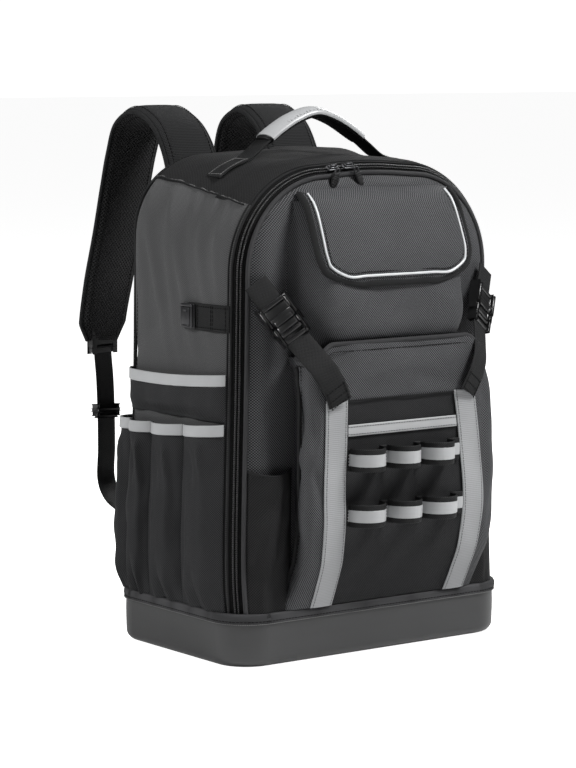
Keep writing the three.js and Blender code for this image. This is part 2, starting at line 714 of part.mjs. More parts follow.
const sideT = (share) => mix(side.front, side.back, share);
function pocketOut(row, across, v) {
  const round = Math.sin(Math.PI * clamp(across)) ** 0.75;
  return side.bulge * row.out * round * read(pocketRise, "up", "out", v);
}

// A tube pocket: thin at its two seams, with its inner face a wall's thickness in from the outer
function toolPocket(row, grow = 0, filled = false) {
  const wide = (row.to - row.from) * (side.back - side.front);
  const face = (inset, lift, full) => (u, v) => {
    const share = mix(row.from, row.to, mix(inset / wide, 1 - inset / wide, u));
    const top = sideTop(share, side.high, side.drop) + grow;
    return onSide(sideT(share), mix(mouthFoot - grow, top, v), lift + full * pocketOut(row, u, v));
  };
  const inner = filled ? face(gap / 2 - grow, -1, 0) : face(cloth, gap - grow, 1);
  return patch(steps(8), steps(5), face(gap / 2 - grow, gap + cloth + grow, 1), inner);
}

// Reflective band along the mouths of the tool pockets
function lowerBandGeometry() {
  const shares = toolPockets.flatMap(({ from, to }) =>
    [0.04, 0.2, 0.5, 0.8, 0.96].map((at) => mix(from, to, at)));
  const face = (lift) => (share, v) => {
    const row = toolPockets.find(({ to }) => share < to);
    const top = sideTop(share, side.high, side.drop);
    const up = 1 - (1 - v) * band.wide / (top - bindingTop);
    const out = pocketOut(row, (share - row.from) / (row.to - row.from), up);
    return onSide(sideT(share), mix(top - band.wide, top, v), lift + out);
  };
  const outer = 2 * gap + cloth + band.thick;
  return cut(patch(shares, [0, 1], face(outer), face(outer - band.thick - cloth * 0.6)),
    ...toolPockets.map((row) => toolPocket(row, gap, true)));
}

const sideUpperFoot = side.high + 3;
const upperSideOut = (u) => sideUpper.bulge * Math.sin(Math.PI * clamp(u)) ** 0.5;
const upperSideT = (u) => mix(side.front, sideUpper.back, u);

function upperSidePocket(grow = 0, filled = false) {
  const face = (inset, lift, full) => (u, v) => {
    const t = mix(side.front + inset, sideUpper.back - inset, u);
    const top = sideTop(u, sideUpper.high, sideUpper.drop) + grow;
    return onSide(t, mix(sideUpperFoot - grow, top, v), lift + full * upperSideOut(u) * smooth(v * 3));
  };
  const inner = filled ? face(-grow, -1, 0) : face(cloth, gap - grow, 1);
  return patch(steps(10), steps(3), face(-grow, gap + cloth + grow, 1), inner);
}

function upperBandGeometry() {
  const face = (lift) => (u, v) => {
    const top = sideTop(u, sideUpper.high, sideUpper.drop);
    return onSide(upperSideT(u), mix(top - band.wide, top, v), lift + upperSideOut(u));
  };
  const outer = 2 * gap + cloth + band.thick;
  return cut(patch(steps(10), [0, 1], face(outer), face(outer - band.thick - cloth * 0.6)),
    upperSidePocket(gap, true));
}

function tapeBandSheet(grow = 0) {
  const at = (u, v) => onSide(mix(tapeBand.front, tapeBand.back, u),
    tapeBand.z + tapeBand.wide * (v - 0.5), gap + tapeBand.thick);
  const shape = sheet({ nu: 5, nv: 2, at, thick: tapeBand.thick, under: 0.6, facing: -1 }, grow);
  return grow ? shape : cut(shape, bodyClear);
}

// Sprung clip over the end of the tape band: a back plate with a tongue that stands off at its foot
function clipGeometry() {
  const rim = 3;
  const base = 2 * gap + tapeBand.thick + clip.thick;
  const onBand = (inset, u, v, out) => onSide(
    mix(tapeBand.back - clip.wide + inset, tapeBand.back - inset, u),
    tapeBand.z + clip.high * (v - 0.5), out);
  const plate = sheet({ nu: 1, nv: 1, at: (u, v) => onBand(0, u, v, base), thick: clip.thick, facing: -1 });
  const lip = sheet({ nu: 1, nv: 1, at: (u, v) => onBand(rim, u, 0.9 * v, base + clip.tongue - 2 * v),
    thick: clip.tongue, facing: -1 });
  return cut(join(plate, lip), tapeBandSheet(gap), bodyClear);
}

// Compression straps: from beside the zip, through a buckle, to the top of the reflective strip
const strapEnds = { from: vec(-147, -99, 378), to: vec(-81, -153, 262) };
const strapLine = (share) => strapEnds.from.clone().lerp(strapEnds.to, share);
const strapAcross = vec(0.79, -0.24, 0.56);
const buckleAt = 0.36;
const strapLong = strapEnds.from.distanceTo(strapEnds.to);

function strapStretch(from, to, grow = 0) {
  const path = [from, mix(from, to, 0.33), mix(from, to, 0.67), to].map(strapLine);
  return sweep(path, () => strapAcross,
    () => flatSection(webbing.wide + 2 * grow, webbing.thick + 2 * grow));
}

// Half of a side release buckle between two shares of the strap's line
function buckleHalf(from, to, wide, thick, slots) {
  const path = [0, 0.12, 0.88, 1].map((s) => strapLine(mix(from, to, s)));
  const outer = sweep(path, () => strapAcross, (t) => {
    const end = t < 0.1 || t > 0.9 ? 0.86 : 1;
    return roundSection(wide * end * 1.08, thick * end * 1.08, 8);
  });
  return cut(outer, ...slots.map((s) => sweep([s - 0.022, s + 0.022].map(strapLine),
    () => strapAcross, () => flatSection(webbing.wide + 2, far / 40))));
}

const upperStrap = () => strapStretch(0, buckleAt - 0.13);

function lowerStrap(grow = 0) {
  const path = [strapLine(buckleAt + 0.14), ...tailRoute.map(({ x, y, z }) => vec(-x, y, z))];
  return sweep(curve(path, 9), () => strapAcross,
    () => flatSection(webbing.wide + 2 * grow, webbing.thick + 2 * grow));
}

const buckleShare = buckle.long / strapLong;

function buckleSocket() {
  const from = buckleAt - buckleShare * 0.5;
  return cut(buckleHalf(from, buckleAt + buckleShare * 0.08, buckle.wide, buckle.thick, [from + 0.04]),
    strapStretch(-0.05, buckleAt - 0.13, gap));
}

function bucklePlug() {
  const to = buckleAt + buckleShare * 0.66;
  const clear = gap / strapLong;
  return cut(buckleHalf(buckleAt + buckleShare * 0.08 + clear, to, buckle.wide * 0.94, buckle.thick * 0.8,
    [to - 0.05]), lowerStrap(gap));
}

// Carry handle over the top
const handleTop = archOutline(0, 0, 0);
const archAt = (x) => topAt(handleTop, x);

function handleLine(count) {
  const lift = gap + webbing.thick / 2;
  const onTop = (x) => vec(x, 0, archAt(x) + lift * 1.25);
  const crest = body.top + handle.rise;
  const rise = (x) => crest - (crest - archAt(handle.leave)) * (x / handle.leave) ** 1.6;
  const half = [onTop(handle.foot), onTop((handle.foot + handle.leave) / 2 + 3),
    vec(handle.leave, 0, archAt(handle.leave) + lift * 1.6),
    ...[0.8, 0.55, 0.28].map((s) => vec(handle.leave * s, 0, rise(handle.leave * s)))];
  const other = half.toReversed().map((p) => vec(-p.x, p.y, p.z));
  return curve([...half, vec(0, 0, crest), ...other], count);
}

const handleWebbing = (grow = 0) => sweep(handleLine(28), () => vec(0, 1, 0),
  () => flatSection(webbing.wide + 2 * grow, webbing.thick + 2 * grow));

function handleGrip() {
  const path = handleLine(28).filter((p) => Math.abs(p.x) < handle.grip);
  const shape = sweep(path, () => vec(0, 1, 0), (t) => {
    const end = 1 - 0.25 * Math.abs(2 * t - 1) ** 6;
    return roundSection(handle.gripWide * end, handle.gripThick * end, 6);
  });
  return cut(shape, handleWebbing(gap));
}

// Shoulder strap, its lower webbing, adjuster and chest strap

const strapX = (out) => -strap.x - out;

function shoulderStrap(grow = 0) {
  const centre = strapRoute.map((row) => vec(strapX(row.out), row.y, row.z));
  const path = curve(centre, 16);
  const value = (column, t) => {
    const at = t * (strapRoute.length - 1);
    const row = Math.min(strapRoute.length - 2, Math.floor(at));
    return mix(strapRoute[row][column], strapRoute[row + 1][column], at - row);
  };
  const across = (t) => {
    const yaw = THREE.MathUtils.degToRad(value("yaw", t));
    return vec(Math.cos(yaw), Math.sin(yaw), 0);
  };
  const section = (t) => {
    const wide = strap.wide * value("wide", t) / 2 + grow;
    const thick = strap.thick * value("thick", t) / 2 + grow;
    return [[-1, 0], [-0.85, -0.8], [0, -1], [0.85, -0.8], [1, 0], [0.85, 0.8], [0, 1], [-0.85, 0.8]]
      .map(([a, b]) => [a * wide, b * thick]);
  };
  const shape = sweep(path, across, section);
  return grow ? shape : cut(shape, bodyClear, backPanelGeometry(gap));
}

const routeLine = (count) => curve(lowerRoute.map((row) => vec(strapX(row.out), row.y, row.z)), count);

const strapWebbing = (grow = 0) => {
  const shape = sweep(routeLine(20), () => vec(1, 0.2, 0),
    () => flatSection(webbing.wide + 2 * grow, webbing.thick + 2 * grow));
  return grow ? shape : cut(shape, bodyClear, shoulderStrap(gap), backPanelGeometry(gap));
};

function adjusterGeometry() {
  const line = routeLine(80);
  const away = (p) => Math.abs(p.z - adjuster.z);
  const middle = line.reduce((best, p) => (away(p) < away(best) ? p : best));
  const path = [-0.5, 0.5].map((s) => middle.clone().add(vec(0, 0, -s * adjuster.high)));
  const section = roundSection(adjuster.wide * 1.08, adjuster.thick, 8);
  const shape = sweep(path, () => vec(1, 0.2, 0), () => section);
  return cut(shape, strapWebbing(gap));
}

const sternumRow = strapRoute.find((row) => row.z < sternum.z + 20);
const sternumY = sternumRow.y + strap.thick / 2 + gap + sternum.thick;

function sternumLine() {
  const start = strapX(sternumRow.out) + strap.wide * 0.1;
  return [vec(start, sternumY - 2.5, sternum.z), vec(mix(start, 0, 0.35), sternumY + 3, sternum.z - 2),
    vec(mix(start, 0, 0.7), sternumY + 5, sternum.z - 4), vec(-6, sternumY + 5, sternum.z - 4)];
}

const sternumWebbing = (grow = 0) => {
  const shape = sweep(curve(sternumLine(), 6), () => vec(0, 0, 1),
    () => flatSection(sternum.wide + 2 * grow, sternum.thick + 2 * grow));
  return grow ? shape : cut(shape, shoulderStrap(gap));
};

function sternumBuckle() {
  const middle = sternumLine().at(-1);
  const path = [-1, -0.8, 0.8, 1].map((s) => vec(s * sternum.buckleLong / 2, middle.y, middle.z));
  const shape = sweep(path, () => vec(0, 0, 1), (t) => {
    const end = t < 0.1 || t > 0.9 ? 0.8 : 1;
    return roundSection(sternum.buckleWide * end, sternum.buckleThick * end, 8);
  });
  const left = sternumWebbing(gap);
  return cut(shape, left, mirrored(left));
}

function backPanelGeometry(grow = 0) {
  const at = (u, v) => {
    const [s, w] = [2 * u - 1, 2 * v - 1];
    const round = Math.sqrt(Math.max(0, 1 - Math.abs(w) ** 8 * 0.2));
    const puff = padding * (1 - Math.max(Math.abs(s), Math.abs(w)) ** 6 * 0.7);
    const z = mix(backPanel.low, backPanel.high, v);
    return vec(backPanel.half * s * round, backY * bodySize(z).deep + gap + puff, z);
  };
  const rows = [0, 0.06, 0.25, 0.5, 0.75, 0.94, 1];
  const shape = sheet({ nu: 6, nv: 6, us: rows, vs: rows, at, thick: padding, facing: -1 }, grow);
  return grow ? shape : cut(shape, bodyClear);
}

// The assembly

const group = new THREE.Group();
group.name = "tool_backpack";

function add(name, colour, geometry) {
  const [color, roughness, metalness] = colours[colour];
  const mesh = new THREE.Mesh(geometry, new THREE.MeshStandardMaterial({ color, roughness, metalness }));
  mesh.name = name;
  group.add(mesh);
}

// Left piece and its mirrored copy, each cut clear of what it lies against
function addPair(name, colour, geometry, ...cutters) {
  add(`${name}_left`, colour, cut(geometry, ...cutters));
  add(`${name}_right`, colour, cut(mirrored(geometry), ...cutters));
}

add("base_tray", "tray", trayGeometry());
add("base_binding", "trim", bindingGeometry());
add("main_body", "cloth", mainBodyGeometry());
add("front_panel", "cloth", frontPanelGeometry());
add("main_zip", "zip", mainZipGeometry());
for (const [place, sign] of [["left", -1], ["right", 1]]) {
  add(`zip_slider_${place}`, "metal", sliderGeometry(sign));
  add(`zip_pull_${place}`, "metal", pullGeometry(sign));
}
add("upper_pocket", "cloth", upperPocket());
const flapClear = pocketFlap(gap);
add("pocket_flap", "cloth", cut(pocketFlap(), bodyClear, upperPocket(gap)));
add("flap_binding", "trim", cut(flapBinding(), flapClear, bodyClear, upperPocket(gap)));
add("flap_piping", "reflective", cut(flapPiping(), flapClear, flapBinding(gap)));
add("lower_pocket", "cloth", cut(lowerPocket(), upperPocket(gap)));
add("lower_pocket_lip", "trim", lowerLip());
add("reflective_strip_left", "reflective", stripGeometry(-1));
add("reflective_strip_right", "reflective", stripGeometry(1));
add("crossband", "reflective", crossbandGeometry());
add("tool_loops_upper", "webbing", toolLoops(loops.upperZ));
add("tool_loops_lower", "webbing", toolLoops(loops.lowerZ));
addPair("stash_pouch", "cloth", stashPouch(), bodyClear, lowerClear);
toolPockets.forEach((row, i) => {
  const next = toolPockets.slice(i + 1, i + 2).map((other) => toolPocket(other, gap, true));
  add(row.name, "cloth", cut(toolPocket(row), bodyClear, ...next));
});
add("tool_pocket_band", "reflective", lowerBandGeometry());
add("side_pocket_upper", "cloth", cut(upperSidePocket(), bodyClear));
add("side_pocket_band", "reflective", upperBandGeometry());
add("tape_band", "webbing", tapeBandSheet());
add("tape_clip", "metal", clipGeometry());
addPair("compression_upper", "webbing", upperStrap(), bodyClear);
addPair("compression_lower", "webbing", lowerStrap(), lowerClear, upperPocket(gap), lowerLip(gap));
addPair("buckle_socket", "plastic", buckleSocket(), bodyClear);
addPair("buckle_plug", "plastic", bucklePlug(), lowerClear, upperPocket(gap));
add("carry_handle", "webbing", cut(handleWebbing(), bodyClear));
add("handle_grip", "trim", handleGrip());
add("back_panel", "mesh", backPanelGeometry());
addPair("shoulder_strap", "mesh", shoulderStrap());
addPair("strap_webbing", "webbing", strapWebbing());
addPair("strap_adjuster", "plastic", adjusterGeometry());
addPair("sternum_webbing", "webbing", sternumWebbing());
add("sternum_buckle", "plastic", sternumBuckle());

export default group;
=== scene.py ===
"""Cloth, trim and hardware of a tool backpack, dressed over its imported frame."""
import math
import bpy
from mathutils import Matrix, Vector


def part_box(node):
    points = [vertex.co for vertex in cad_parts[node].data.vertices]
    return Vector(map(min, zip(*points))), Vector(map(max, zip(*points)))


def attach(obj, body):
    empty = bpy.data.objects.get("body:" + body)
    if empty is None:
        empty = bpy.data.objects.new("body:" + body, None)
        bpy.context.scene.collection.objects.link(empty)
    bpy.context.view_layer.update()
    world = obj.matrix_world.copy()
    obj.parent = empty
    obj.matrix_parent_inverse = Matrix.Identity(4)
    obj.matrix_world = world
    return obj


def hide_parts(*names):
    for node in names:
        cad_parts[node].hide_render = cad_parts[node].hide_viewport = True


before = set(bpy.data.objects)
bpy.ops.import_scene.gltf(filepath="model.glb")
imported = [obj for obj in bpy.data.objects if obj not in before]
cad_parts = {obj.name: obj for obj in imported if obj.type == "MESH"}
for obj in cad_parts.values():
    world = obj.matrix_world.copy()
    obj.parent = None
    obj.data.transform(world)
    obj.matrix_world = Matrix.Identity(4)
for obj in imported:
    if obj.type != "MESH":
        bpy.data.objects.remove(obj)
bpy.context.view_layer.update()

from types import SimpleNamespace as Sizes

import bmesh
import bpy
import numpy as np
from mathutils import Vector

bl_info = {
    "name": "Tool Backpack",
    "version": (1, 0, 0),
    "blender": (4, 5, 0),
    "location": "View3D > Sidebar > Backpack",
    "description": "Builds a tool backpack of cloth, webbing and moulded parts over its frame",
    "category": "Add Mesh",
}

# Shapes are worked out in millimetres, as the frame's sizes are, and written in metres
MM = 0.001
UV_NAME = "UVMap"
PACK = "pack"


def node_box(name):
    """Lowest and highest corner of a node of the frame, in millimetres"""
    return [np.array(corner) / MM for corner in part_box(name)]


# Driving sizes, the same as the frame's

GAP = 0.3
CLOTH = 2.2
tray_low, tray_high = node_box("base_tray")
tray = Sizes(width=tray_high[0] - tray_low[0], depth=tray_high[1] - tray_low[1], height=tray_high[2],
             corner=38.6, wall=3, floor=4, edge=9)
binding = Sizes(high=10.6, thick=2, lip=1.6)
bag = Sizes(width=320, depth=200, top=486, rise=5, crown=3, front_edge=38, back_edge=36,
            arch_front=106, arch_back=78, spine_top=400)
zipper = Sizes(y=-87, half=6.1, stand=1.2, coil=1.7, closed=-31, apart=19, foot=52)
COIL = {"Pitch": 0.0021, "Long": 0.0014, "Radius": 0.00095}
pull = Sizes(long=20, wide=8, thick=3.4, splay=22)
upper = Sizes(front_half=83, root_half=104, deep=43, high=446, low=303, corner=18)
flap = Sizes(half=94, high=456, low=368, deep=45, corner=34, thick=3.2, binding=7, piping=2.6)
lower = Sizes(half=123, lip=311, wing=14, lip_half=88, deep=46, bend=27, root=24, seam=257)
strip = Sizes(wide=25, thick=1.4, half=83, high=258, clear=2)
crossband = Sizes(wide=10, thick=1.2, z=228)
loops = Sizes(wide=21, thick=1.6, bulge=22, upper_z=200, lower_z=146)
stash = Sizes(high=190, bulge=12, inner=96)
side = Sizes(front=-78, back=108, high=233, drop=9, bulge=14)
side_upper = Sizes(high=281, drop=6, bulge=7, back=90, foot=236)
band = Sizes(wide=10, thick=1.2)
tape_tab = Sizes(front=-80, back=-12, z=335, wide=24, thick=1.8)
webbing = Sizes(wide=25, thick=2)
buckle = Sizes(at=0.36)
handle = Sizes(foot=120, leave=82, top=528, grip=60, grip_wide=28, grip_thick=11)
shoulder = Sizes(wide=64, thick=14, x=65)
adjuster = Sizes(z=212, lock_z=286)
sternum = Sizes(wide=20, thick=1.8, z=388)
back_panel = Sizes(half=118, low=70, high=420, thick=12)


def table(columns, *rows):
    """Columns of a short table by name"""
    return dict(zip(columns.split(), np.array(rows, float).T))


BODY_RISE = table("up wide deep", (0, 0, 0), (0.1, -0.1, 0.45), (0.35, 0.25, 0.9), (0.7, 0.75, 1), (1, 1, 1))
UPPER_RISE = table("up deep root", (0, 0.1, 0.82), (0.02, 0.55, 0.84), (0.08, 0.9, 0.88), (0.2, 1, 0.98),
                   (0.45, 0.97, 1), (0.8, 0.62, 1), (1, 0.26, 0.97))
FLAP_FALL = table("up deep", (0, 0.1), (0.07, 0.3), (0.16, 0.46), (0.45, 0.72), (0.75, 0.92), (1, 1))
LOWER_RISE = table("up deep wide tuck lean", (0, 0.26, 0.98, 0.1, 0.03), (0.08, 0.5, 1, 0.5, 0.05),
                   (0.2, 0.8, 1.02, 0.9, 0.075), (0.38, 0.98, 1.02, 1, 0.075), (0.75, 1, 0.99, 1, 0.05),
                   (0.92, 0.98, 0.93, 0.5, 0.02), (1, 0.97, 0.9, 0.2, 0))
STRIP_RISE = table("up apart lean", (0, 1, 0.12), (0.5, 1.04, 0.06), (0.75, 1, 0.03), (1, 0.95, -0.01))
POCKET_RISE = table("up out", (0, 0.15), (0.15, 0.75), (0.45, 1), (0.8, 0.75), (1, 0.7))
TOOL_POCKETS = [(0, 0.335, 1), (0.335, 0.63, 1.05), (0.63, 0.83, 0.95), (0.83, 1, 1.15)]
LOOP_SPANS = [(0.01, 0.28), (0.34, 0.59), (0.64, 0.9)]
STRAP_ENDS = np.array([(-147, -99, 378), (-81, -153, 262)], float)
STRAP_ACROSS = np.array([0.79, -0.24, 0.56])
STRAP_TAIL = np.array([(-106, -138, 305), (-96, -150, 288), (-86, -153.5, 270), (-79, -152, 256)], float)
TAIL_ACROSS = np.array([1, 0.2, 0])
STRAP_ROUTE = table("out y z wide thick yaw", (0, 109, 424, 1, 0.75, 0), (0, 111, 462, 1, 0.8, 0),
                    (0, 125, 494, 1, 0.9, 2), (1, 145, 516, 1, 1, 4), (3, 175, 527, 1, 1, 4),
                    (4, 205, 514, 0.99, 1, 4), (5, 219, 484, 0.98, 1, 4), (8, 226, 450, 0.97, 1, 4),
                    (13, 234, 400, 0.96, 1, 4), (20, 241, 350, 0.95, 1, 4), (26, 245, 304, 0.9, 1, 4),
                    (27, 245, 286, 0.6, 0.8, 4))
LOWER_ROUTE = table("out y z", (26, 245, 300), (26, 245, 276), (26, 241, 245), (28, 236, 212),
                    (29, 234, 172), (31, 232, 140), (34, 214, 122), (39, 160, 108), (42, 104, 96))

# Folds and dents: place across and up, lean in degrees, length, width and height; those of the tool
# pockets and pouches in shares of their width and height
SIDE_FOLDS = [(66, 395, 4, 75, 9, 3.2), (40, 372, 16, 80, 8, 3.8), (16, 384, 10, 80, 8, 3.0),
              (-8, 362, 18, 70, 8, 3.6), (-34, 392, 14, 66, 7, 2.8), (-58, 400, 10, 60, 6, 2.4),
              (26, 436, 26, 26, 5, 1.6), (-4, 440, 20, 26, 5, 1.8), (-30, 444, 14, 24, 5, 1.6),
              (-50, 330, 60, 40, 7, -2.0), (60, 310, -50, 50, 9, -2.2)]
UPPER_FOLDS = [(-70, 340, 12, 30, 8, -1.6), (-50, 352, 60, 30, 9, 1.6), (60, 350, -60, 34, 9, 1.4),
               (-88, 390, 0, 40, 5, -2.0), (20, 330, 80, 60, 10, 1.2)]
FLAP_FOLDS = [(-30, 46, 52, 40, 12, 1.0), (36, 60, -40, 34, 12, 0.8)]
LOWER_FOLDS = [(-104, 236, -4, 26, 5, -4.4), (-111, 196, 6, 30, 5, 3.2), (-100, 214, 14, 24, 4, 3.2),
               (-98, 176, -24, 24, 5, -3.8), (-106, 150, 8, 30, 6, 2.0), (-96, 120, -8, 34, 7, -1.8),
               (-112, 262, 20, 24, 5, 2.6), (-88, 292, 62, 24, 6, -2.0), (104, 230, 8, 34, 6, -2.4),
               (112, 180, -8, 34, 7, 2.2), (118, 140, 6, 34, 6, -2.0), (100, 262, -30, 24, 6, -2.0),
               (0, 286, 86, 80, 12, 1.8), (-30, 270, 70, 40, 6, -1.0), (40, 272, -76, 40, 6, -1.0)]
POCKET_FOLDS = [(0.34, 0.82, 34, 0.16, 0.06, 4.0), (0.62, 0.76, 52, 0.16, 0.06, -3.0),
                (0.24, 0.5, 4, 0.3, 0.08, 1.8), (0.3, 0.07, 6, 0.14, 0.07, 3.0),
                (0.52, 0.06, 0, 0.14, 0.06, -3.0), (0.72, 0.07, -8, 0.14, 0.07, 2.6),
                (0.78, 0.4, -5, 0.3, 0.1, -1.8)]
STASH_FOLDS = [(0.35, 0.62, 38, 0.3, 0.09, 4.4), (0.6, 0.5, 30, 0.3, 0.09, -3.6),
               (0.75, 0.7, 20, 0.25, 0.1, 3.4), (0.3, 0.1, 0, 0.14, 0.09, 2.2),
               (0.55, 0.12, 12, 0.16, 0.09, -1.8), (0.78, 0.1, 6, 0.14, 0.09, 1.6),
               (0.45, 0.9, 80, 0.3, 0.08, 1.4)]

# Sizes that follow from the driving ones

binding_top = tray.height + GAP + binding.lip
mouth_foot = binding_top + GAP
floor_z = tray.floor + GAP
foot_half = Sizes(x=tray.width / 2 - tray.wall - GAP, y=tray.depth / 2 - tray.wall - GAP)
back_y = bag.depth / 2
panel_front = -back_y - GAP
arch_start = bag.top - bag.crown - bag.arch_front


# Numbers and small shapes

def mix(a, b, t):
    """Value between two, at a share"""
    return a + (b - a) * t


def clamp(t):
    """Share kept between none and all"""
    return np.clip(t, 0, 1)


def smooth(t):
    """Share with soft ends"""
    return clamp(t) ** 2 * (3 - 2 * clamp(t))


def vec(x, y, z):
    """Points from three coordinates"""
    return np.stack(np.broadcast_arrays(np.asarray(x, float), y, z), -1)


def unit(v):
    """Vectors of length one"""
    return v / np.maximum(np.linalg.norm(v, axis=-1, keepdims=True), 1e-9)


def even(count):
    """Even shares from none to all"""
    return np.linspace(0.0, 1.0, count)


def hermite(t, long, ends, slopes):
    """Smooth curve between two values with a slope at each"""
    return ((1 + 2 * t) * (1 - t) ** 2 * ends[0] + t * (1 - t) ** 2 * long * slopes[0]
            + t ** 2 * (3 - 2 * t) * ends[1] + t ** 2 * (t - 1) * long * slopes[1])


def read(rows, column, at):
    """Smooth value of a table's column, at a place given in its first column"""
    xs, ys = rows[next(iter(rows))], rows[column]
    secant = np.diff(ys) / np.diff(xs)
    turn = secant[1:] * secant[:-1]
    inner = np.where(turn > 0, 2 * turn / (secant[1:] + secant[:-1] + (turn <= 0)), 0)
    slope = np.concatenate([secant[:1], inner, secant[-1:]])
    at = np.asarray(at, float)
    i = np.clip(np.searchsorted(xs, at) - 1, 0, len(xs) - 2)
    long = xs[i + 1] - xs[i]
    return hermite(clamp((at - xs[i]) / long), long, (ys[i], ys[i + 1]), (slope[i], slope[i + 1]))


def run_of(points, power=1.0):
    """Length along a line up to each of its points"""
    steps = np.linalg.norm(np.diff(points, axis=0), axis=1)
    return np.concatenate([[0], np.cumsum(steps ** power)])


def spline(points, count):
    """Even steps along a smooth curve through the points"""
    points = np.asarray(points, float)
    fine_steps = 40
    knots = run_of(points, 0.5)
    slope = np.gradient(points, knots, axis=0)
    at = np.linspace(knots[0], knots[-1], fine_steps * len(points))
    i = np.clip(np.searchsorted(knots, at, side="right") - 1, 0, len(knots) - 2)
    long = (knots[i + 1] - knots[i])[:, None]
    t = (at - knots[i])[:, None] / long
    fine = hermite(t, long, (points[i], points[i + 1]), (slope[i], slope[i + 1]))
    run = run_of(fine)
    at = np.linspace(0, run[-1], count)
    return np.stack([np.interp(at, run, fine[:, k]) for k in range(3)], -1)


def spans(*runs):
    """Steps through runs of (from, to, count), without doubles"""
    return np.unique(np.concatenate([np.linspace(a, b, n + 1) for a, b, n in runs]).round(9))


def rumple(x, y, size, seed):
    """Soft uneven waves of about one unit, a size apart"""
    draw = np.random.default_rng(seed)
    total = 0
    waves = 7
    for _ in range(waves):
        turn, phase = draw.uniform(0, 2 * math.pi, 2)
        rate = 2 * math.pi / size * draw.uniform(0.6, 1.5)
        total = total + np.sin(rate * (x * math.cos(turn) + y * math.sin(turn)) + phase)
    return total / waves ** 0.5


def creases(x, y, rows):
    """Sum of long soft ridges, each at (x, y) and turned by lean degrees from upright"""
    total = 0
    for cx, cy, lean, long, wide, high in rows:
        turn = math.radians(lean)
        along = (x - cx) * math.sin(turn) + (y - cy) * math.cos(turn)
        across = (x - cx) * math.cos(turn) - (y - cy) * math.sin(turn)
        total = total + high * np.exp(-(across / wide) ** 2 - (along / long) ** 2)
    return total


def flipped(points):
    """Points on the other side of the middle plane"""
    return points * np.array([-1, 1, 1])


# Meshes

def volume_of(points, faces):
    """Six times the signed volume inside the faces"""
    total = 0
    for group in faces:
        for k in range(1, group.shape[1] - 1):
            a, b, c = (points[group[:, n]] for n in (0, k, k + 1))
            total += np.einsum("ij,ij->i", a, np.cross(b, c)).sum()
    return total


def soften(mesh, sharp):
    """Smooth shading, with edges sharper than an angle kept"""
    mesh.polygons.foreach_set("use_smooth", np.ones(len(mesh.polygons), bool))
    mesh.set_sharp_from_angle(angle=math.radians(sharp))


def new_mesh(points, faces, uv, sharp=42):
    """Mesh in metres from points in millimetres, with its faces turned outwards"""
    if volume_of(points, faces) < 0:
        faces = [group[:, ::-1] for group in faces]
    mesh = bpy.data.meshes.new("piece")
    mesh.from_pydata((points * MM).tolist(), [], [face for group in faces for face in group.tolist()])
    soften(mesh, sharp)
    corner = np.zeros(len(mesh.loops), np.int32)
    mesh.loops.foreach_get("vertex_index", corner)
    mesh.uv_layers.new(name=UV_NAME).data.foreach_set("uv", (uv[corner] * MM).astype(np.float32).ravel())
    return mesh


def enter(piece, body, replaces):
    """Puts a piece on its body and in the place of its nodes"""
    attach(piece, body)
    if replaces:
        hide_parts(*replaces)
    return piece


def add_piece(name, mesh, finish, replaces=(), body=PACK):
    """Object for a finished mesh, riding on its body and standing for its nodes"""
    mesh.name = name
    piece = bpy.data.objects.new(name, mesh)
    bpy.context.scene.collection.objects.link(piece)
    slot, *materials = finish
    for material in materials:
        if material not in mesh.materials.values():
            mesh.materials.append(material)
    return enter(piece, body, replaces)


def grid_normals(points):
    """Unit normals of a grid of points"""
    du = np.gradient(points, axis=0)
    dv = np.gradient(points, axis=1)
    return unit(np.cross(du, dv))


def run_lengths(points, axis):
    """Length along the grid from its middle line, for each point"""
    steps = np.linalg.norm(np.diff(points, axis=axis), axis=-1)
    total = np.cumsum(steps, axis=axis)
    pad = [(0, 0), (0, 0)]
    pad[axis] = (1, 0)
    total = np.pad(total, pad)
    return total - np.take(total, [points.shape[axis] // 2], axis=axis)


def cloth_mesh(place, us, vs, thick, facing=1, height=None, planar=False):
    """Closed sheet of cloth with a rounded rim: place(u, v) gives its outer face; its weave follows
    the sheet, or stays upright on the front where planar"""
    grid_u, grid_v = np.meshgrid(us, vs, indexing="ij")
    outer = place(grid_u, grid_v)
    if height is not None:
        outer = outer + facing * grid_normals(outer) * height(grid_u, grid_v)[..., None]
    normal = facing * grid_normals(outer)
    inner = outer - normal * thick
    nu, nv = outer.shape[:2]
    away = np.zeros_like(outer)
    away[0] += unit(outer[0] - outer[1])
    away[-1] += unit(outer[-1] - outer[-2])
    away[:, 0] += unit(outer[:, 0] - outer[:, 1])
    away[:, -1] += unit(outer[:, -1] - outer[:, -2])
    rim = (outer + inner) / 2 + unit(away) * thick / 2
    at = np.arange(nu * nv).reshape(nu, nv)
    loop = np.concatenate([at[:-1, 0], at[-1, :-1], at[:0:-1, -1], at[0, :0:-1]])
    flat = outer.reshape(-1, 3), inner.reshape(-1, 3), rim.reshape(-1, 3)[loop]
    points = np.vstack(flat)
    quads = np.stack([at[:-1, :-1], at[1:, :-1], at[1:, 1:], at[:-1, 1:]], -1).reshape(-1, 4)
    edge = np.arange(len(loop)) + 2 * nu * nv
    ahead, edge_ahead = np.roll(loop, -1), np.roll(edge, -1)
    faces = [quads, quads[:, ::-1] + nu * nv, np.stack([ahead, loop, edge, edge_ahead], -1),
             np.stack([edge_ahead, edge, loop + nu * nv, ahead + nu * nv], -1)]
    if planar:
        middle = outer[nu // 2, :, 1]
        across = outer[..., 0] + np.sign(outer[..., 0]) * (outer[..., 1] - middle)
        uv = np.stack([across, outer[..., 2]], -1).reshape(-1, 2)
    else:
        uv = np.stack([run_lengths(outer, 0), run_lengths(outer, 1)], -1).reshape(-1, 2)
    return new_mesh(points, faces, np.vstack([uv, uv, uv[loop]]))


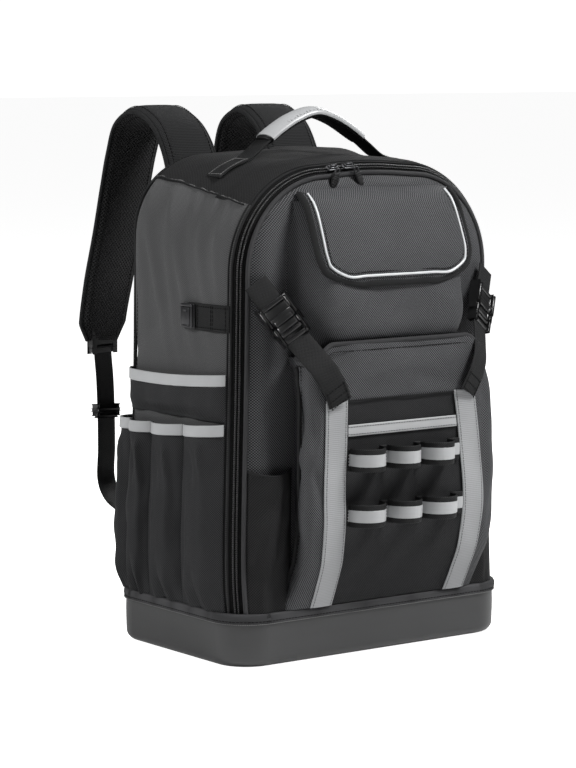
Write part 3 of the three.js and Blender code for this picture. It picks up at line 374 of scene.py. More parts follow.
def tube_faces(count, sides, loop=False):
    """Faces between rings of points, with an end cap each unless the rings close in a loop"""
    at = np.arange(count * sides).reshape(count, sides)
    lead, follow = (at, np.roll(at, -1, axis=0)) if loop else (at[:-1], at[1:])
    faces = [np.stack([lead, np.roll(lead, -1, 1), np.roll(follow, -1, 1), follow], -1).reshape(-1, 4)]
    return faces if loop else [*faces, at[:1, ::-1], at[-1:]]


def sweep_mesh(path, across, section):
    """Section points (across, out) carried along a path; the section may change at each step"""
    count = len(path)
    along = unit(np.gradient(path, axis=0))
    wide = np.broadcast_to(np.asarray(across, float), path.shape)
    wide = unit(wide - along * np.einsum("ij,ij->i", wide, along)[:, None])
    out = np.cross(along, wide)
    section = np.asarray(section, float)
    if section.ndim == 2:
        section = np.broadcast_to(section, (count, *section.shape))
    rings = path[:, None] + wide[:, None] * section[..., :1] + out[:, None] * section[..., 1:]
    around = run_of(section[count // 2])
    uv = np.stack(np.broadcast_arrays(around[None], run_of(path)[:, None]), -1).reshape(-1, 2)
    return new_mesh(rings.reshape(-1, 3), tube_faces(count, rings.shape[1]), uv)


def flat_section(wide, thick, turns=3):
    """Outline of webbing: flat faces and round edges"""
    radius = thick / 2
    points = []
    for sign in (1, -1):
        for k in range(turns + 1):
            angle = math.pi * (k / turns - 0.5)
            reach = wide / 2 - radius + radius * math.cos(angle)
            points.append((sign * reach, sign * radius * math.sin(angle)))
        points += [(sign * wide * share, sign * radius) for share in (0.25, 0, -0.25)]
    return points


def oval_section(wide, thick, sides=20, power=2.0):
    """Oval, squarer as the power grows"""
    angle = 2 * math.pi * np.arange(sides) / sides
    bend = lambda value: np.sign(value) * np.abs(value) ** (2 / power)
    return np.stack([bend(np.cos(angle)) * wide / 2, bend(np.sin(angle)) * thick / 2], -1)


def blocks_mesh(origin, axes, rows, round_by=1.2):
    """Moulded part of round-edged bars: rows give place and size along, across and out"""
    shape = bmesh.new()
    axes = np.array(axes, float)
    for row in rows:
        middle, size = np.array(row[:3], float), np.array(row[3:6], float)
        made = bmesh.ops.create_cube(shape, size=1)["verts"]
        for vertex in made:
            local = middle + np.array(vertex.co) * size
            vertex.co = Vector(np.asarray(origin) + local @ axes)
        edges = list({edge for vertex in made for edge in vertex.link_edges})
        bmesh.ops.bevel(shape, geom=edges, offset=min(round_by, min(size) * 0.45), segments=3, profile=0.5,
                        affect="EDGES")
    bmesh.ops.recalc_face_normals(shape, faces=shape.faces)
    for vertex in shape.verts:
        vertex.co = vertex.co * MM
    mesh = bpy.data.meshes.new("piece")
    shape.to_mesh(mesh)
    shape.free()
    soften(mesh, 50)
    return mesh


def mirror_mesh(mesh):
    """Copy of a mesh on the other side of the middle plane, with its faces outwards"""
    copy = mesh.copy()
    points = np.zeros(len(copy.vertices) * 3, np.float32)
    copy.vertices.foreach_get("co", points)
    copy.vertices.foreach_set("co", (points.reshape(-1, 3) * [-1, 1, 1]).astype(np.float32).ravel())
    copy.flip_normals()
    return copy


def add_pair(name, mesh, finish, node=None):
    """The left piece and its mirrored copy"""
    for place, shape in (("left", mesh), ("right", mirror_mesh(mesh))):
        stands_for = [f"{node}_{place}"] if node else ()
        add_piece(f"{name}_{place}", shape, finish, stands_for)


def lifted(place, u, v, out, facing=1):
    """Points a height above a surface, along its normal"""
    step = 1e-4
    u, v, out = np.broadcast_arrays(*(np.asarray(part, float) for part in (u, v, out)))
    du = place(u + step, v) - place(u - step, v)
    dv = place(u, v + step) - place(u, v - step)
    return place(u, v) + facing * unit(np.cross(du, dv)) * out[..., None]


# Node trees

class Graph:
    """Adds and links the nodes of one tree; an input takes a socket or a plain value"""

    def __init__(self, tree):
        self.tree = tree
        tree.nodes.clear()

    def node(self, kind, inputs=None, **settings):
        made = self.tree.nodes.new(kind)
        for key, value in settings.items():
            setattr(made, key, value)
        for key, value in (inputs or {}).items():
            if isinstance(value, bpy.types.NodeSocket):
                self.tree.links.new(value, made.inputs[key])
            else:
                made.inputs[key].default_value = value
        return made

    def math(self, operation, *values):
        return self.node("ShaderNodeMath", dict(enumerate(values)), operation=operation).outputs[0]

    def arch(self, value):
        """Sine of half a turn for each unit"""
        return self.math("SINE", self.math("MULTIPLY", value, math.pi))

    def blend(self, factor, dark, light):
        made = self.node("ShaderNodeMix", {0: factor, 6: dark, 7: light}, data_type="RGBA")
        return made.outputs[2]

    def noise(self, vector, scale, detail=2.0, rough=0.5):
        made = self.node("ShaderNodeTexNoise", {"Vector": vector, "Scale": scale, "Detail": detail,
                                                "Roughness": rough})
        return made.outputs["Fac"]


SHADER, GEOMETRY = "ShaderNodeTree", "GeometryNodeTree"
SOCKETS = {"Vector": "NodeSocketVector", "Geometry": "NodeSocketGeometry", "Material": "NodeSocketMaterial"}


def node_tree(name, kind, inputs, outputs):
    """Makes a function that adds nodes give a whole tree with named sockets, built once"""
    def wrap(build):
        def tree():
            if name in bpy.data.node_groups:
                return bpy.data.node_groups[name]
            made = bpy.data.node_groups.new(name, kind)
            graph = Graph(made)
            for way, labels in (("INPUT", inputs), ("OUTPUT", outputs)):
                for label, value in labels.items():
                    socket = made.interface.new_socket(label, in_out=way,
                                                       socket_type=SOCKETS.get(label, "NodeSocketFloat"))
                    if value is not None:
                        socket.default_value = value
            source = graph.node("NodeGroupInput").outputs
            graph.node("NodeGroupOutput", build(graph, source))
            return made
        return tree
    return wrap


def scaled_parts(graph, vector, size):
    """Both coordinates of a vector, counted in steps of a size"""
    parts = graph.node("ShaderNodeSeparateXYZ", {0: vector}).outputs
    return graph.math("DIVIDE", parts[0], size), graph.math("DIVIDE", parts[1], size)


@node_tree("Plain weave", SHADER, {"Vector": None, "Yarn": 0.0009}, {"Height": None, "Light": None})
def weave_group(graph, source):
    """Coarse plain weave: height of the yarn, and a light mask that paints highlight on the crowns of yarn,
    with painted shade in the gaps between
    """
    across, along = scaled_parts(graph, source["Vector"], source["Yarn"])
    cell = graph.math("ADD", graph.math("FLOOR", across), graph.math("FLOOR", along))
    over = graph.math("LESS_THAN", graph.math("FLOORED_MODULO", cell, 2.0), 0.5)
    warp = graph.arch(graph.math("FRACT", across))
    weft = graph.arch(graph.math("FRACT", along))
    low = graph.math("MULTIPLY", weft, 0.55)
    high = graph.math("MULTIPLY", graph.math("MULTIPLY_ADD", warp, 0.5, 0.5), over)
    height = graph.math("MAXIMUM", low, high)
    return {"Height": height, "Light": graph.math("MULTIPLY", height, over)}


@node_tree("Tape ribs", SHADER, {"Vector": None, "Pitch": 0.001, "Cross": 0.3}, {"Height": None})
def ribs_group(graph, source):
    """Ribs across a tape, counted along its length"""
    across, along = scaled_parts(graph, source["Vector"], source["Pitch"])
    rib, fine = (graph.math("ABSOLUTE", graph.arch(value)) for value in (along, across))
    return {"Height": graph.math("MULTIPLY_ADD", fine, source["Cross"], rib)}


@node_tree("Spacer mesh", SHADER, {"Vector": None, "Pitch": 0.004}, {"Height": None})
def open_mesh_group(graph, source):
    """Knitted spacer mesh: a net of diamonds standing high, low in its holes"""
    across, along = scaled_parts(graph, source["Vector"], source["Pitch"])
    one, two = (graph.math("ABSOLUTE", graph.arch(graph.math(way, across, along)))
                for way in ("ADD", "SUBTRACT"))
    return {"Height": graph.math("SUBTRACT", 1.0, graph.math("MULTIPLY", one, two))}


@node_tree("Wear and grain", SHADER, {"Vector": None, "Grain": 900.0, "Amount": 0.5},
           {"Tone": None, "Fibre": None})
def wear_group(graph, source):
    """Slow change of tone over a piece and fine fibre or grain"""
    slow = graph.noise(source["Vector"], 14.0, 3.0)
    fine = graph.noise(source["Vector"], source["Grain"], 3.0, 0.6)
    tone = graph.math("MULTIPLY_ADD", graph.math("SUBTRACT", slow, 0.5), source["Amount"], 1.0)
    return {"Tone": tone, "Fibre": fine}


def group_node(graph, tree, inputs):
    """Outputs of a group in a tree"""
    return graph.node("ShaderNodeGroup", inputs, node_tree=tree).outputs


def shade(colour, factor):
    """Colour made lighter or darker"""
    return (*[channel * factor for channel in colour[:3]], 1)


def surface(name, colour, pattern, rough=0.8, tone=0.5, grain=900.0, grain_deep=0.1, deep=0.0004,
            contrast=1.0, light=3.0, metal=0.0, sheen=0.0, coat=0.0, shine=0.16, rough_spread=0.12):
    """Material with a pattern that gives (light mask, height) and wear over it; with the weave, rib and net
    patterns the colour is painted up to light times lighter on raised parts, a painted highlight, leaving
    painted shade in the hollows
    """
    if name in bpy.data.materials:
        return bpy.data.materials[name]
    material = bpy.data.materials.new(name)
    material.use_nodes = True
    graph = Graph(material.node_tree)
    coords = graph.node("ShaderNodeTexCoord").outputs
    wear = group_node(graph, wear_group(), {"Vector": coords["Object"], "Grain": grain, "Amount": tone})
    mask, height = pattern(graph, coords["UV"])
    # Painted highlight and shade: the colour is blended lighter where the pattern's mask is high
    lit = graph.math("MULTIPLY", graph.math("MULTIPLY", mask, wear["Tone"]), contrast)
    base = graph.blend(lit, shade(colour, 1.0), shade(colour, light))
    toned = graph.node("ShaderNodeHueSaturation", {"Color": base, "Value": wear["Tone"]}).outputs[0]
    roughness = graph.math("MULTIPLY_ADD", graph.math("SUBTRACT", wear["Fibre"], 0.5), rough_spread, rough)
    relief = graph.math("MULTIPLY_ADD", wear["Fibre"], grain_deep, height)
    normal = graph.node("ShaderNodeBump", {"Height": relief, "Distance": deep, "Strength": 1.0}).outputs[0]
    shader = graph.node("ShaderNodeBsdfPrincipled", {
        "Base Color": toned, "Roughness": roughness, "Metallic": metal, "Normal": normal,
        "Specular IOR Level": shine, "Sheen Weight": sheen, "Sheen Roughness": 0.4, "Coat Weight": coat,
        "Coat Roughness": 0.25})
    graph.node("ShaderNodeOutputMaterial", {"Surface": shader.outputs[0]})
    return material


def weave(yarn):
    """Pattern of a plain weave: painted highlight on the crowns of its yarn, painted shade between, and the
    height of the yarn
    """
    def pattern(graph, uv):
        yarns = group_node(graph, weave_group(), {"Vector": uv, "Yarn": yarn})
        return yarns["Light"], yarns["Height"]
    return pattern


def ribs(pitch, cross):
    """Pattern of a ribbed tape: the rib height, which also paints highlight on the crowns of the ribs"""
    def pattern(graph, uv):
        rib = group_node(graph, ribs_group(), {"Vector": uv, "Pitch": pitch, "Cross": cross})["Height"]
        return rib, rib
    return pattern


def spacer(pitch):
    """Pattern of a knitted net: its height, which also paints highlight on the net and painted shade in the
    holes
    """
    def pattern(graph, uv):
        net = group_node(graph, open_mesh_group(), {"Vector": uv, "Pitch": pitch})["Height"]
        return net, net
    return pattern


def plain():
    """No repeat: only the wear and grain show"""
    def pattern(graph, uv):
        level = graph.noise(uv, 60.0)
        return level, level
    return pattern


# Finishes: the slot name, name, colour, then the pattern with the size it follows, its share of
# that size and its cross ribs, then what differs from the usual surface
FINISHES = {
    # light: how many times lighter the colour is painted on the pattern's raised parts, a painted highlight
    # on yarn, rib and net crowns with painted shade left in the hollows
    "cloth": ("cloth", "Cloth front", "cloth", (weave, "yarn", 1), dict(light=14, tone=0.3, rough=0.6)),
    "fine_cloth": ("cloth", "Cloth fine", "side_cloth", (weave, "yarn", 0.75),
                   dict(light=3, tone=0.3, contrast=0.8, sheen=0.05)),
    "pocket_cloth": ("cloth", "Cloth of the pockets", "cloth", (weave, "yarn", 0.85),
                     dict(light=5, tone=0.3)),
    # The front cloth with a finer weave and a weaker painted highlight: painted shade on the face behind the
    # tool loops
    "bib": ("cloth", "Cloth of the bib", "cloth", (weave, "yarn", 0.8), dict(light=3.6, tone=0.3)),
    "gusset": ("cloth", "Cloth of the top", "mesh", (weave, "yarn", 1), dict(light=7, tone=0.3)),
    "trim": ("trim", "Trim tape", "trim", (ribs, "rib", 1, 0.2), dict(light=2.6, rough=0.7)),
    "piping": ("trim", "Piping", "piping", (ribs, "rib", 0.8, 0.1), dict(light=1.8, rough=0.6)),
    "webbing": ("webbing", "Webbing", "trim", (weave, "yarn", 0.75), dict(light=3, rough=0.6)),
    "reflective": ("reflective", "Reflective tape", "reflective", (ribs, "rib", 1.6, 0.15),
                   dict(light=1.3, rough=0.42, tone=0.3, deep=0.00015)),
    "satin": ("reflective", "Satin band", "satin", (plain,),
              dict(shine=0.5, light=1.1, rough=0.35, tone=0.35, deep=0.0001)),
    "silver": ("reflective", "Silver piping", "silver", (plain,),
               dict(shine=0.5, light=1.1, rough=0.3, tone=0.2, deep=0.0001)),
    "tray": ("tray", "Tray plastic", "tray", (plain,),
             dict(shine=0.5, light=1.3, rough=0.42, tone=0.2, grain=2500, grain_deep=0.5, deep=0.00012)),
    "plastic": ("plastic", "Gloss plastic", "plastic", (plain,),
                dict(shine=0.5, light=1.4, rough=0.3, tone=0.2, grain=1500, deep=0.00006, coat=0.1)),
    "metal": ("metal", "Painted metal", "metal", (plain,),
              dict(shine=0.5, light=1.5, rough=0.3, metal=0.6, tone=0.3, deep=0.00005)),
    "grip": ("grip", "Grip rubber", "plastic", (ribs, "rib", 2, 0), dict(light=1.8, rough=0.5)),
    "mesh": ("mesh", "Spacer mesh", "mesh", (spacer, "net", 1), dict(light=7, deep=0.0012, tone=0.3)),
    "ribbed": ("mesh", "Strap cloth", "trim", (ribs, "rib", 1.5, 0.5), dict(light=2.6)),
    "zip_tape": ("zip", "Zip tape", "mesh", (ribs, "rib", 1, 0.6), dict(light=2)),
    "coil": ("zip", "Zip coil", "coil", (plain,), dict(shine=0.5, light=1.4, rough=0.35, tone=0.2)),
    "thread": ("trim", "Thread", "thread", (plain,), dict(light=1.5, rough=0.7, tone=0.6)),
    "dark_thread": ("trim", "Dark thread", "mesh", (plain,), dict(light=1.5)),
}


def finishes():
    """Each finish: its slot name and the material that shows it"""
    scene = bpy.context.scene
    made = {}
    for key, (slot, name, tint, (pattern, *size), settings) in FINISHES.items():
        if size:
            size = getattr(scene.bag_sizes, size[0]) * size[1], *size[2:]
        made[key] = slot, surface(name, getattr(scene.bag_look, tint), pattern(*size), **settings)
    return Sizes(**made)


# Geometry node trees for what follows a line

def finished(graph, source, shape):
    """Real, smooth geometry with the tree's material"""
    real = graph.node("GeometryNodeRealizeInstances", {"Geometry": shape}).outputs[0]
    soft = graph.node("GeometryNodeSetShadeSmooth", {"Geometry": real}).outputs[0]
    done = graph.node("GeometryNodeSetMaterial", {"Geometry": soft, "Material": source["Material"]})
    return {"Geometry": done.outputs[0]}


def stored(graph, shape, name, value, **settings):
    """Geometry with a value kept under a name"""
    return graph.node("GeometryNodeStoreNamedAttribute", {"Geometry": shape, "Name": name, "Value": value},
                      **settings).outputs[0]


@node_tree("Beads along lines", GEOMETRY, {"Geometry": None, "Pitch": 0.004, "Long": 0.003,
                                           "Radius": 0.0004, "Material": None}, {"Geometry": None})
def beads_tree(graph, source):
    """Stitches, or the teeth of a zip: short rods a pitch apart along each line"""
    line = graph.node("GeometryNodeMeshToCurve", {"Mesh": source["Geometry"]}).outputs[0]
    spots = graph.node("GeometryNodeCurveToPoints", {"Curve": line, "Length": source["Pitch"]},
                       mode="LENGTH").outputs
    turn = graph.node("FunctionNodeAlignRotationToVector", {"Vector": spots["Tangent"]}, axis="Z").outputs[0]
    rod = graph.node("GeometryNodeMeshCylinder", {"Vertices": 6, "Radius": source["Radius"],
                                                  "Depth": source["Long"]}).outputs["Mesh"]
    beads = graph.node("GeometryNodeInstanceOnPoints", {"Points": spots["Points"], "Instance": rod,
                                                        "Rotation": turn}).outputs[0]
    return finished(graph, source, beads)


@node_tree("Roll along lines", GEOMETRY, {"Geometry": None, "Radius": 0.002, "Material": None},
           {"Geometry": None})
def roll_tree(graph, source):
    """Round roll of piping or binding along each line, with its length as a coordinate"""
    line = graph.node("GeometryNodeMeshToCurve", {"Mesh": source["Geometry"]}).outputs[0]
    along = graph.node("GeometryNodeSplineParameter").outputs["Length"]
    marked = stored(graph, line, "along", along, data_type="FLOAT", domain="POINT")
    ring = graph.node("GeometryNodeCurvePrimitiveCircle", {"Resolution": 10,
                                                           "Radius": source["Radius"]}).outputs[0]
    solid = graph.node("GeometryNodeCurveToMesh", {"Curve": marked, "Profile Curve": ring,
                                                   "Fill Caps": True}).outputs[0]
    run = graph.node("GeometryNodeInputNamedAttribute", {"Name": "along"}, data_type="FLOAT").outputs[0]
    both = graph.node("ShaderNodeCombineXYZ", {0: 0.0, 1: run}).outputs[0]
    mapped = stored(graph, solid, UV_NAME, both, data_type="FLOAT2", domain="CORNER")
    return finished(graph, source, mapped)


def run_tree(name, tree, lines, values, finish, closed=False, replaces=(), body=PACK):
    """One plain mesh of what a tree makes along lines of points in millimetres"""
    edges, start = [], 0
    for line in lines:
        end = start + len(line) - 1
        edges += [(k, k + 1) for k in range(start, end)]
        if closed:
            edges.append((end, start))
        start = end + 1
    mesh = bpy.data.meshes.new(name)
    mesh.from_pydata((np.vstack(lines) * MM).tolist(), edges, [])
    piece = bpy.data.objects.new(name, mesh)
    bpy.context.scene.collection.objects.link(piece)
    slot, material = finish
    modifier = piece.modifiers.new(tree.name, "NODES")
    modifier.node_group = tree
    for item in tree.interface.items_tree:
        if item.in_out == "INPUT" and item.name in values:
            modifier[item.identifier] = values[item.name]
        if item.in_out == "INPUT" and item.name == "Material":
            modifier[item.identifier] = material
    bpy.context.view_layer.update()
    made = bpy.data.meshes.new_from_object(piece.evaluated_get(bpy.context.evaluated_depsgraph_get()))
    piece.modifiers.clear()
    piece.data = made
    made.name = name
    return enter(piece, body, replaces)


def roll(name, lines, radius, finish, closed=False, replaces=()):
    """Rolls of piping along lines"""
    return run_tree(name, roll_tree(), lines, {"Radius": radius * MM}, finish, closed, replaces)


def stitches(name, lines, finish, long=None, closed=False, thin=1.0):
    """Rows of stitches along lines"""
    size = bpy.context.scene.bag_sizes
    long = long or size.stitch
    values = {"Pitch": long * 1.35, "Long": long, "Radius": size.thread / 2 * thin}
    return run_tree(name, beads_tree(), lines, values, finish, closed)


def split_finish(mesh, first, second, chosen):
    """Second material on the chosen faces; gives the finish of both"""
    mesh.materials.append(first[1])
    mesh.materials.append(second[1])
    mesh.polygons.foreach_set("material_index", chosen.astype(np.int32))
    return first[0], first[1], second[1]


def two_cloths(mesh, first, second, picked):
    """Second cloth on the faces picked by their middles"""
    middle = np.zeros(len(mesh.polygons) * 3, np.float32)
    mesh.polygons.foreach_get("center", middle)
    return split_finish(mesh, first, second, picked(*(middle.reshape(-1, 3).T / MM)))


# Body

def body_up(z):
    """Height from the binding to the start of the arch, as a share"""
    return (z - binding_top) / (arch_start - binding_top)


def body_half(z):
    """Half the body's width at a height"""
    return mix(foot_half.x, bag.width / 2, read(BODY_RISE, "wide", body_up(z)))


def body_deep(z):
    """Share of the body's full depth at a height"""
    return mix(foot_half.y / back_y, 1, read(BODY_RISE, "deep", body_up(z)))


FRONT_ROUND = bag.front_edge * math.pi / 2
STRAIGHT = bag.depth - bag.front_edge - bag.back_edge
BACK_ROUND = bag.back_edge * math.pi / 2
FACE = bag.width / 2 - bag.front_edge
ROUND_ALL = FRONT_ROUND + STRAIGHT + BACK_ROUND
ZIP_AT = bag.front_edge * math.acos(1 - (zipper.y + back_y) / bag.front_edge)
SIDE_SHARE, TURN_SHARE = 0.63, 0.91


def station(s):
    """Depth, inset of the outline and share of the way in to the spine, s round from the front face"""
    front = np.clip(s / bag.front_edge, 0, math.pi / 2)
    back = np.clip((s - FRONT_ROUND - STRAIGHT) / bag.back_edge, 0, math.pi / 2)
    y = (-back_y + bag.front_edge * (1 - np.cos(front)) + np.clip(s - FRONT_ROUND, 0, STRAIGHT)
         + bag.back_edge * np.sin(back))
    inset = bag.front_edge * (1 - np.sin(front)) + bag.back_edge * (1 - np.cos(back))
    return y, inset, clamp(-s / FACE) + clamp((s - ROUND_ALL) / FACE)


def on_body(a, s):
    """Point of the cloth body: a from the left foot over the top to the right foot"""
    y, inset, inward = station(s)
    h = 1 - np.abs(2 * a - 1)
    back = smooth((y - zipper.y) / (back_y - zipper.y)) ** 1.6
    radius = mix(bag.arch_front, bag.arch_back, back)
    top = bag.top + bag.rise * back - bag.crown
    turn = clamp((h - SIDE_SHARE) / (TURN_SHARE - SIDE_SHARE)) * math.pi / 2
    flat = clamp((h - TURN_SHARE) / (1 - TURN_SHARE))
    side_z = mix(floor_z, top - radius, clamp(h / SIDE_SHARE))
    z = side_z + (radius - inset) * np.sin(turn) + bag.crown * np.sin(flat * math.pi / 2)
    lean = (radius - inset) * (1 - np.cos(turn)) + (bag.width / 2 - radius) * flat
    x = body_half(side_z) - inset - lean
    x = np.where(turn >= math.pi / 2 - 1e-9, (bag.width / 2 - radius) * (1 - flat), x) * (1 - inward)
    z = mix(z, np.minimum(z, bag.spine_top), inward)
    return vec(np.sign(2 * a - 1) * x, y * body_deep(z), z)


def arch_line(s, out, low=None, count=420):
    """Line round the arch at a place s, from the left foot to the right one"""
    low = zipper.foot if low is None else low
    share = (low - floor_z) / (arch_start - floor_z) * SIDE_SHARE / 2
    a = np.linspace(share, 1 - share, count)
    return lifted(on_body, a, s, out)


def share_at(z, s):
    """Share a of the left side at a height z"""
    a = np.linspace(0, 0.5, 2000)
    return np.interp(z, on_body(a, s)[:, 2], a)


def body_height(a, s):
    """Sag and folds of the body's cloth"""
    y, _, inward = station(s)
    z = on_body(a, s)[..., 2]
    sides = smooth((s - ZIP_AT - 10) / 24) * smooth((ROUND_ALL - s) / 26)
    on_side_face = smooth((0.47 - np.abs(0.5 - np.minimum(a, 1 - a) - 0.25)) / 0.1)
    low = smooth((z - 60) / 80)
    folds = creases(y, z, SIDE_FOLDS) * on_side_face
    return (folds + 1.1 * rumple(y, z + 90 * (a > 0.5), 120, 3)) * sides * low * (1 - inward)


def panel_height(a, s):
    """Padding of the front panel beside the zip"""
    near = np.exp(-((s - 8) / 13) ** 2)
    z = on_body(a, s)[..., 2]
    return 2.4 * near * smooth((z - 80) / 60) + 0.8 * rumple(a * 900, s * 2, 140, 8) * smooth((20 - s) / 20)


def build_tray():
    look = finishes()
    turns = 14
    edge_steps = 7

    def ring(out, z):
        half_x, half_y, corner = tray.width / 2 + out, tray.depth / 2 + out, tray.corner + out
        points = []
        for sx, sy, start in ((1, 1, 0), (-1, 1, 90), (-1, -1, 180), (1, -1, 270)):
            angle = np.radians(start + 90 * np.arange(turns + 1) / turns)
            points.append(vec(sx * (half_x - corner) + corner * np.cos(angle),
                              sy * (half_y - corner) + corner * np.sin(angle), z))
        return np.vstack(points)

    def loft(rings, loop=False):
        count, sides = len(rings), len(rings[0])
        points = np.vstack(rings)
        run = np.linalg.norm(np.diff(rings[0], axis=0, append=rings[0][:1]), axis=1).cumsum()
        uv = np.stack([np.repeat(points.reshape(count, sides, 3)[:, 0, 2], sides), np.tile(run, count)], -1)
        return new_mesh(points, tube_faces(count, sides, loop), uv, 50)

    bend = [math.pi / 2 * k / edge_steps for k in range(edge_steps + 1)]
    wall = [ring(-tray.edge * (1 - math.sin(t)), tray.edge * (1 - math.cos(t))) for t in bend]
    wall += [ring(0.5 * math.sin(math.pi * up), mix(tray.edge, tray.height - 1, up)) for up in even(7)[1:]]
    wall += [ring(out, z) for out, z in (
        (-0.4, tray.height), (-tray.wall + 0.4, tray.height), (-tray.wall, tray.height - 1),
        (-tray.wall, tray.floor))]
    add_piece("tray_shell", loft(wall), look.tray, ["base_tray"])
    low = binding_top - binding.high
    outside = GAP + binding.thick
    tape = [ring(GAP, low), ring(outside - 0.9, low)]
    for share in even(8):
        swell = 1.1 * math.sin(math.pi * share) ** 0.6 - 0.7 * math.exp(-((share - 0.3) / 0.09) ** 2)
        tape.append(ring(outside - 0.6 + swell, mix(low + 0.5, binding_top - 0.5, share)))
    tape += [ring(out, z) for out, z in (
        (outside - 1.4, binding_top), (-tray.wall, binding_top), (-tray.wall, tray.height + GAP),
        (GAP, tray.height + GAP))]
    add_piece("tray_tape", loft(tape, True), look.piping, ["base_binding"])
    line = lambda share, out: ring(outside + out, mix(low, binding_top, share))
    stitches("tray_stitches", [line(0.3, -0.2)], look.dark_thread, closed=True)
    # Loose thread ends along the binding's lower edge, their highlight painted in with the pale thread
    # colour
    stitches("tray_loose_thread", [line(0.06, -0.1)], look.thread, long=0.0016, closed=True)


def gusset_seam(y):
    """Height of the seam between a side and the top, falling towards the front"""
    return np.interp(y, [-75, 64], [443, 464])


def build_body():
    look = finishes()
    start = ZIP_AT + zipper.half + 0.2
    ss = spans((start, FRONT_ROUND, 10), (FRONT_ROUND, FRONT_ROUND + STRAIGHT, 46),
               (FRONT_ROUND + STRAIGHT, ROUND_ALL, 14), (ROUND_ALL, ROUND_ALL + FACE, 8))
    shell = cloth_mesh(on_body, spans((0, 0.33, 84), (0.33, 0.67, 64), (0.67, 1, 84)), ss, CLOTH,
                       height=body_height)
    finish = two_cloths(shell, look.fine_cloth, look.gusset, lambda x, y, z: z > gusset_seam(y))
    add_piece("body_shell", shell, finish, ["main_body"])
    end = ZIP_AT - zipper.half - 0.2
    ss = spans((-FACE, 0, 20), (0, end, 14))
    panel = cloth_mesh(on_body, spans((0.02, 0.33, 90), (0.33, 0.67, 60), (0.67, 0.98, 90)),
                       ss, CLOTH, height=panel_height, planar=True)
    add_piece("front_panel_cloth", panel, look.cloth, ["front_panel"])
    roll("back_piping", [arch_line(FRONT_ROUND + STRAIGHT + BACK_ROUND * 0.45, 0.8)], 2.1, look.trim)
    edge = arch_line(FRONT_ROUND + STRAIGHT + BACK_ROUND * 0.2, 0.2)
    stitches("back_edge_stitches", [edge], look.dark_thread)
    depth = np.linspace(ZIP_AT + 16, FRONT_ROUND + STRAIGHT + BACK_ROUND * 0.3, 90)
    share = np.array([share_at(gusset_seam(station(s)[0]), s) for s in depth])
    seams = []
    for a in (share, 1 - share):
        seams.append(lifted(on_body, a, depth, body_height(a, depth) + 0.5))
    roll("gusset_seams", seams, 1.0, look.trim)
    ragged = [line + vec(0, 0, 0.8 + 0.5 * rumple(line[:, 1], 0 * line[:, 1], 9, 5)) for line in seams]
    stitches("gusset_stitches", ragged, look.thread, long=0.0022)


def build_zip():
    look = finishes()
    half = zipper.half
    share = (zipper.foot - floor_z) / (arch_start - floor_z) * SIDE_SHARE / 2
    tape = cloth_mesh(on_body, np.linspace(share, 1 - share, 240),
                      np.linspace(ZIP_AT - half, ZIP_AT + half, 9), 1.0)
    add_piece("zip_tape_cloth", tape, look.zip_tape, ["main_zip"])
    rows = [arch_line(ZIP_AT + sign * zipper.coil, zipper.stand) for sign in (-1, 1)]
    run_tree("zip_coil", beads_tree(), rows, COIL, look.coil)
    roll("zip_piping_inner", [arch_line(ZIP_AT - half - 2.2, 1.6)], 2.5, look.piping)
    roll("zip_welt_outer", [arch_line(ZIP_AT + half + 1.2, 0.4)], 1.3, look.trim)
    roll("zip_welt_side", [arch_line(ZIP_AT + half + 5.2, 0.1)], 0.9, look.trim)
    stitches("zip_stitches", [arch_line(ZIP_AT + sign * 4.4, 0.3) for sign in (-1, 1)], look.dark_thread)


def slider_place(sign):
    """Foot of a slider on the coil, and the directions along, across and out of the zip there"""
    x = zipper.closed + sign * zipper.apart / 2
    a = np.linspace(0.4, 0.6, 4000)
    line = lifted(on_body, a, ZIP_AT, zipper.stand)
    k = int(np.argmin(np.abs(line[:, 0] - x)))
    along = unit(line[k + 1] - line[k - 1])
    out = unit(line[k] - on_body(a[k], ZIP_AT))
    return line[k], (along, np.cross(out, along), out)


def build_pulls():
    look = finishes()
    for place, sign in (("left", -1), ("right", 1)):
        foot, axes = slider_place(sign)
        body = blocks_mesh(foot, axes, [
            (0, 0, 1.2, 13, 7.5, 2.2), (0, 0, 3.2, 9, 5, 1.4), (-2.6, 0, 4.4, 1.6, 2.4, 2.6),
            (2.6, 0, 4.4, 1.6, 2.4, 2.6), (0, 0, 5.4, 6.6, 2.4, 1.2)], 0.9)
        add_piece(f"slider_{place}", body, look.metal, [f"zip_slider_{place}"])
        low, high = node_box(f"zip_pull_{place}")
        node = f"zip_pull_{place}"
        lean = math.radians(pull.splay) * -sign
        down = np.array([-math.sin(lean), 0, -math.cos(lean)])
        across = np.array([math.cos(lean), 0, -math.sin(lean)])
        pivot = (low + high) / 2 - down * pull.long / 2
        ring = pivot[None] + np.array([down * (4.6 - 4.2 * math.cos(t)) + across * 2.4 * math.sin(t)
                                       for t in np.linspace(0, 2 * math.pi, 22, endpoint=False)])
        run_tree(f"pull_ring_{place}", roll_tree(), [ring], {"Radius": 0.0008}, look.metal, True,
                 body=f"pull_{place}")
        steps = even(61)
        path = pivot + down * (6 + (pull.long - 6) * steps)[:, None]
        swell = 0.72 + 0.28 * np.sin(np.pi * np.clip(steps * 1.1, 0, 1)) ** 0.5
        knurl = 1 + 0.07 * np.sign(np.sin(steps * 2 * np.pi * 9)) * (np.abs(steps - 0.5) < 0.36)
        section = oval_section(pull.wide, pull.thick, 16, 3)[None] * (swell * knurl)[:, None, None]
        grip = sweep_mesh(path, across, section)
        add_piece(f"pull_grip_{place}", grip, look.grip, [node], body=f"pull_{place}")


# Pockets on the front

